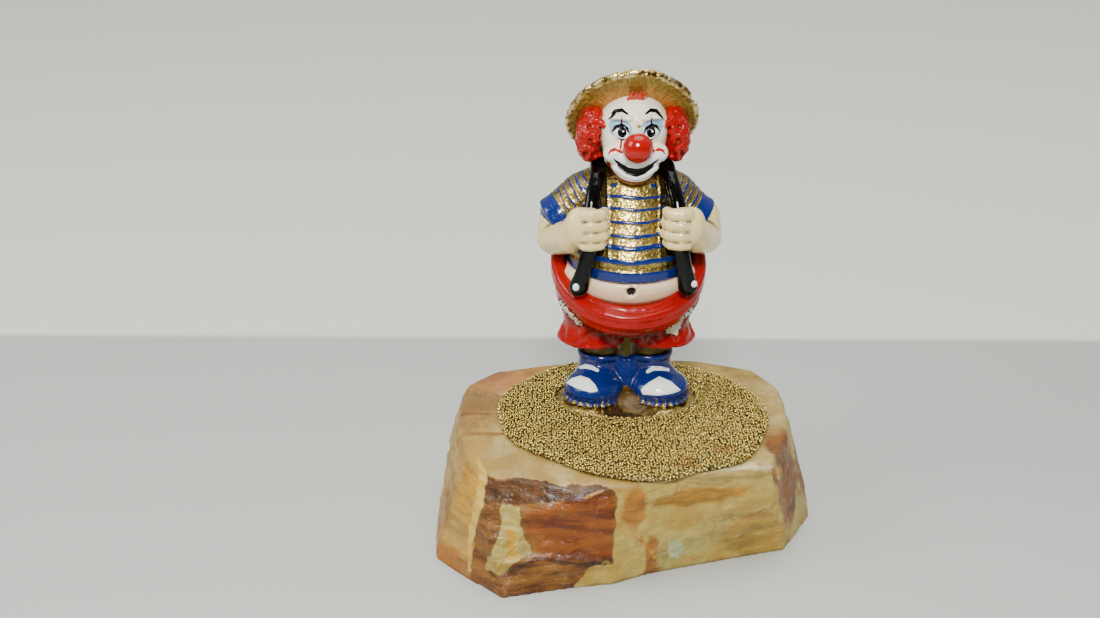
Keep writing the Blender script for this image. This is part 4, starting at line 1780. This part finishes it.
def hat_form():
    dome = [
        (CROWN_RADIUS * math.cos(a) ** 0.6, BRIM_HALF + (CROWN_HEIGHT - BRIM_HALF) * math.sin(a) ** 0.9)
        for a in [math.radians(d) for d in (80, 65, 50, 36, 24, 13, 5)]
    ]
    edge = BRIM_RADIUS - BRIM_ROLL
    roll = [(edge + BRIM_ROLL * math.sin(a), BRIM_ROLL * math.cos(a)) for a in [math.radians(d) for d in range(0, 181, 20)]]
    top_flat = [(CROWN_RADIUS + 1.5, BRIM_HALF), (CROWN_RADIUS + 5.0, BRIM_HALF), (edge - 3.0, BRIM_HALF)]
    under_flat = [(edge - 3.0, -BRIM_HALF), (CROWN_RADIUS, -BRIM_HALF), (CROWN_RADIUS / 2, -BRIM_HALF)]
    bm = turned([(0.0, CROWN_HEIGHT), *dome, *top_flat, *roll, *under_flat, (0.0, -BRIM_HALF)])
    bmesh.ops.triangulate(bm, faces=bm.faces)
    return bm


def hat_mesh():
    """Modelled level, in the hat's own frame, with its straw cut into it, and then pushed back."""
    obj = plain_object("hat", mesh_from(hat_form()))
    wedge = bmesh.new()
    bmesh.ops.create_cube(wedge, size=5.0)
    place = (
        Matrix.Rotation(TEAR_ANGLE, 4, "Z")
        @ Matrix.Translation((BRIM_RADIUS + 1.0, 0.0, 0.0))
        @ Matrix.Rotation(math.radians(45.0), 4, "Z")
    )
    bmesh.ops.transform(wedge, matrix=place, verts=wedge.verts)
    cutter = plain_object("tear", mesh_from(wedge))
    remesh = obj.modifiers.new("Even", "REMESH")
    remesh.mode = "VOXEL"
    remesh.voxel_size = MEDIUM
    tear = obj.modifiers.new("Tear", "BOOLEAN")
    tear.object = cutter
    tear.operation = "DIFFERENCE"
    again = obj.modifiers.new("Even again", "REMESH")
    again.mode = "VOXEL"
    again.voxel_size = MEDIUM
    soften = obj.modifiers.new("Soften", "SMOOTH")
    soften.factor = 0.5
    soften.iterations = 2
    mesh = largest_shell(baked(obj))
    bpy.data.objects.remove(cutter)
    co = points_of(mesh)
    radius = np.hypot(co[:, 0], co[:, 1])
    flat_way = co * np.array([1.0, 1.0, 0.0]) / np.maximum(radius, 1e-6)[:, None]
    straws = noise_of(flat_way * 16.0 + np.stack([np.zeros(len(co)), np.zeros(len(co)), radius * 0.16], 1), 1.0, 1.0, 3)
    rings = np.cos(radius * math.tau / 2.1 + 1.6 * noise_of(co, 5.0, 4.0, 2))
    rim = ramp(radius, BRIM_RADIUS - 4.2, BRIM_RADIUS - 2.4)
    on_top = co[:, 2] > BRIM_HALF * 0.5
    rough = 0.34 * noise_of(co, 2.2, 2.0, 3) - 0.22 * cells_of(co, 1.25, 3.0)
    flat_part = (1.0 - rim) * np.where(on_top, 1.0, 0.35)
    amount = 0.30 * straws * flat_part + 0.14 * rings * flat_part + rough * np.where(on_top, 0.75, rim)
    push(mesh, amount)
    moved = points_of(mesh)
    towards_front = np.minimum(moved[:, 1] / BRIM_RADIUS, 0.0)
    moved[:, 2] += BRIM_LIFT * towards_front**2
    wavy = 0.5 * noise_of(flat_way * 2.0, 1.0, 6.0) * ramp(radius, 14.0, BRIM_RADIUS)
    moved[:, 2] += wavy
    move_points(mesh, moved)
    store_hollows(mesh, 5)
    store(mesh, "hat_x", flat_way[:, 0])
    store(mesh, "hat_y", flat_way[:, 1])
    store(mesh, "hat_radius", radius)
    store(mesh, "shade", np.where(co[:, 2] < BRIM_HALF * 0.3, 1.0, 0.0) * ramp(BRIM_RADIUS - 1.2 - radius, 0.0, 1.2))
    mesh.transform(HAT_PLACE)
    placed = points_of(mesh)
    beside = ellipse_field(np.abs(placed[:, 0]), placed[:, 2], (15.6, 112.5), (6.0, 6.5))
    store(mesh, "spray", beside / 3.0 + 0.5 * noise_of(placed, 4.0, 8.0, 3) * (beside > -2.0))
    return mesh


def straw_material():
    material = bpy.data.materials.new("gilt_straw")
    material.use_nodes = True
    tree = material.node_tree
    shader = tree.nodes["Principled BSDF"]
    radius = attribute(tree, "hat_radius")
    around_x = math_node(tree, "MULTIPLY", attribute(tree, "hat_x"), 30.0)
    around_y = math_node(tree, "MULTIPLY", attribute(tree, "hat_y"), 30.0)
    along = math_node(tree, "MULTIPLY", radius, 0.28)
    spun = add_node(tree, "ShaderNodeCombineXYZ", None, {"X": around_x, "Y": around_y, "Z": along}).outputs[0]
    straws = noise_node(tree, spun, 1.0, 4.0, 0.65).outputs["Fac"]
    place = object_place(tree)
    patchy = noise_node(tree, place, 140.0, 4.0, 0.6).outputs["Fac"]
    pale = noise_node(tree, place, 420.0, 3.0, 0.6).outputs["Fac"]
    glints = add_node(tree, "ShaderNodeTexVoronoi", None, {"Vector": place, "Scale": 900.0}).outputs["Distance"]
    hollow = map_range(tree, attribute(tree, "hollow"), 0.0, 0.16)
    top = mix_colour(tree, map_range(tree, pale, 0.4, 0.62), rgba(srgb(140, 110, 52)), rgba(srgb(228, 204, 142)))
    top = mix_colour(tree, math_node(tree, "MULTIPLY", hollow, 0.85), top, rgba(srgb(62, 42, 16)))
    under = mix_colour(tree, map_range(tree, straws, 0.3, 0.7), rgba(srgb(108, 88, 28)), rgba(srgb(156, 128, 54)))
    near_head = map_range(tree, radius, 15.5, 21.0, 1.0, 0.0)
    tan = mix_colour(tree, map_range(tree, straws, 0.4, 0.6), rgba(srgb(158, 98, 34)), rgba(srgb(196, 142, 68)))
    under = mix_colour(tree, math_node(tree, "MULTIPLY", near_head, 0.85), under, tan)
    under = mix_colour(tree, map_range(tree, patchy, 0.55, 0.72, 0.0, 0.6), under, rgba(srgb(116, 100, 44)))
    under = mix_colour(tree, math_node(tree, "MULTIPLY", hollow, 0.25), under, rgba(srgb(58, 42, 14)))
    sprayed = map_range(tree, attribute(tree, "spray"), 0.0, 1.0, 0.0, 0.7)
    under = mix_colour(tree, sprayed, under, rgba(srgb(168, 52, 14)))
    shaded = map_range(tree, attribute(tree, "shade"), 0.3, 0.7)
    tree.links.new(mix_colour(tree, shaded, top, under), shader.inputs["Base Color"])
    bright = math_node(tree, "SUBTRACT", 1.0, math_node(tree, "MULTIPLY", hollow, 0.6))
    tree.links.new(math_node(tree, "MULTIPLY", bright, mix_number(tree, shaded, 1.0, 0.55)), shader.inputs["Metallic"])
    tree.links.new(mix_number(tree, shaded, map_range(tree, pale, 0.3, 0.7, 0.18, 0.4), 0.42), shader.inputs["Roughness"])
    shader.inputs["Coat Weight"].default_value = 0.2
    height = math_node(tree, "ADD", math_node(tree, "MULTIPLY", straws, shaded), math_node(tree, "MULTIPLY", glints, -0.6))
    raised = add_node(tree, "ShaderNodeBump", None, {"Strength": 0.45, "Distance": 0.0003, "Height": height})
    tree.links.new(raised.outputs[0], shader.inputs["Normal"])
    return material


class FIGURINE_OT_head(bpy.types.Operator):
    """Painted head with a false nose, bunches of curls and a straw hat"""

    bl_idname = "figurine.head"
    bl_label = "Head and hat"

    def execute(self, context):
        shade = colours()
        face = srgb(240, 232, 208)
        layers = (
            ("under_jaw", srgb(150, 98, 52)),
            ("muzzle", shade.white),
            ("jaw_line", srgb(140, 50, 30)),
            ("eye_shadow", srgb(150, 190, 214)),
            ("eye_white", srgb(240, 242, 240)),
            ("red", srgb(176, 18, 12)),
            ("black", shade.black),
            ("glint", shade.white),
            ("glint_left", shade.white),
            ("chip", None),
        )
        finish_piece("head", head_mesh(), enamel_over_gold("face_enamel", face, layers, wash=0.35, bump=0.05, specular=0.14))
        finish_piece("false_nose", nose_mesh(), enamel_over_gold("nose_enamel", srgb(160, 0, 4), (), wash=0.0, coat=0.25, bump=0.05, specular=0.35, gloss=0.1))
        red = enamel_over_gold("hair_enamel", srgb(158, 0, 4), (), wash=0.5, coat=0.1, bump=0.04, specular=0.3)
        finish_piece("hair_curls", hair_mesh(), red)
        finish_piece("fringe_tuft", tuft_mesh(), enamel_over_gold("tuft_enamel", srgb(176, 44, 14), (), wash=0.5))
        finish_piece("straw_hat", hat_mesh(), straw_material())
        return {"FINISHED"}


# Stage.

CAMERA_PLACE = Vector((-0.030, -0.4292, 0.2635))
CAMERA_PITCH = math.radians(22.5)
CAMERA_ROLL = math.radians(0.3)
CAMERA_LENS = 40.9
TABLE_EDGE = 0.168


def backdrop():
    """One large pale floor, with a soft step of tone where the photo's table meets its wall."""
    bm = bmesh.new()
    bmesh.ops.create_grid(bm, x_segments=1, y_segments=1, size=6.0)
    floor = plain_object("floor", mesh_from(bm))
    material = bpy.data.materials.new("table")
    material.use_nodes = True
    tree = material.node_tree
    shader = tree.nodes["Principled BSDF"]
    place = add_node(tree, "ShaderNodeSeparateXYZ", None, {"Vector": object_place(tree)}).outputs["Y"]
    step = map_range(tree, place, TABLE_EDGE - 0.004, TABLE_EDGE + 0.004)
    tree.links.new(mix_colour(tree, step, rgba(srgb(182, 185, 178)), rgba(srgb(162, 164, 152))), shader.inputs["Base Color"])
    tree.links.new(mix_number(tree, step, 0.42, 0.9), shader.inputs["Roughness"])
    tree.links.new(mix_colour(tree, step, rgba((0.0, 0.0, 0.0)), rgba((0.9, 0.91, 0.84))), shader.inputs["Emission Color"])
    shader.inputs["Emission Strength"].default_value = 0.63
    floor.data.materials.append(material)
    return floor


def add_light(name, place, aim, size, power, colour=(1.0, 1.0, 1.0)):
    light = bpy.data.lights.new(name, "AREA")
    light.size = size
    light.energy = power
    light.color = colour
    obj = bpy.data.objects.new(name, light)
    bpy.context.scene.collection.objects.link(obj)
    obj.location = place
    obj.rotation_euler = (Vector(aim) - Vector(place)).to_track_quat("-Z", "Y").to_euler()
    return obj


def pale_world():
    world = bpy.data.worlds.new("room")
    bpy.context.scene.world = world
    world.use_nodes = True
    tree = world.node_tree
    back = tree.nodes["Background"]
    way = add_node(tree, "ShaderNodeTexCoord").outputs["Generated"]
    parts = add_node(tree, "ShaderNodeSeparateXYZ", None, {"Vector": way})
    up = map_range(tree, parts.outputs["Z"], -0.1, 0.9)
    behind = map_range(tree, parts.outputs["Y"], -0.9, 0.5)
    shade = mix_colour(tree, up, rgba((0.52, 0.53, 0.50)), rgba((0.95, 0.96, 0.94)))
    shade = mix_colour(tree, behind, rgba((0.20, 0.20, 0.20)), shade)
    tree.links.new(shade, back.inputs["Color"])
    back.inputs["Strength"].default_value = 0.6
    return world


def camera():
    data = bpy.data.cameras.new("camera")
    data.lens = CAMERA_LENS
    data.sensor_width = 36.0
    data.clip_end = 20.0
    obj = bpy.data.objects.new("camera", data)
    bpy.context.scene.collection.objects.link(obj)
    forward = Vector((0.0, math.cos(CAMERA_PITCH), -math.sin(CAMERA_PITCH)))
    up = Vector((0.0, math.sin(CAMERA_PITCH), math.cos(CAMERA_PITCH)))
    right = Vector((1.0, 0.0, 0.0))
    rolled_right = right * math.cos(CAMERA_ROLL) + up * math.sin(CAMERA_ROLL)
    rolled_up = up * math.cos(CAMERA_ROLL) - right * math.sin(CAMERA_ROLL)
    turn = Matrix((rolled_right, rolled_up, -forward)).transposed().to_4x4()
    obj.matrix_world = Matrix.Translation(CAMERA_PLACE) @ turn
    bpy.context.scene.camera = obj
    return obj


class FIGURINE_OT_stage(bpy.types.Operator):
    """Floor, light and camera"""

    bl_idname = "figurine.stage"
    bl_label = "Stage"

    def execute(self, context):
        key = add_light("key", (-0.05, -0.62, 0.62), (0.0, 0.0, 0.09), 0.16, 9.0)
        top = add_light("top", (0.1, 0.25, 1.5), (0.0, 0.0, 0.05), 1.2, 16.0)
        left = add_light("left", (-0.9, -0.2, 0.7), (0.0, 0.0, 0.08), 0.5, 6.0, (1.0, 1.0, 0.96))
        for obj in (backdrop(), key, top, left, camera()):
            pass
        pale_world()
        return {"FINISHED"}


PIECE_OPERATORS = (
    FIGURINE_OT_slab,
    FIGURINE_OT_beads,
    FIGURINE_OT_feet,
    FIGURINE_OT_trousers,
    FIGURINE_OT_shirt,
    FIGURINE_OT_head,
    FIGURINE_OT_stage,
)


class FIGURINE_PT_panel(bpy.types.Panel):
    """The figurine's sizes, colours and pieces"""

    bl_idname = "FIGURINE_PT_panel"
    bl_label = "Clown figurine"
    bl_space_type = "VIEW_3D"
    bl_region_type = "UI"
    bl_category = "Figurine"

    def draw(self, context):
        for group in (context.scene.figurine_sizes, context.scene.figurine_colours):
            box = self.layout.box()
            for name in group.__annotations__:
                box.prop(group, name)
        for operator in PIECE_OPERATORS:
            self.layout.operator(operator.bl_idname)


CLASSES = (FigurineSizes, FigurineColours, *PIECE_OPERATORS, FIGURINE_PT_panel)


def register():
    for cls in CLASSES:
        bpy.utils.register_class(cls)
    bpy.types.Scene.figurine_sizes = bpy.props.PointerProperty(type=FigurineSizes)
    bpy.types.Scene.figurine_colours = bpy.props.PointerProperty(type=FigurineColours)


def unregister():
    del bpy.types.Scene.figurine_colours
    del bpy.types.Scene.figurine_sizes
    for cls in reversed(CLASSES):
        bpy.utils.unregister_class(cls)


def main():
    register()
    bpy.ops.figurine.slab()
    bpy.ops.figurine.beads()
    bpy.ops.figurine.feet()
    bpy.ops.figurine.trousers()
    bpy.ops.figurine.shirt()
    bpy.ops.figurine.head()
    bpy.ops.figurine.stage()


if __name__ == "__main__":
    main()
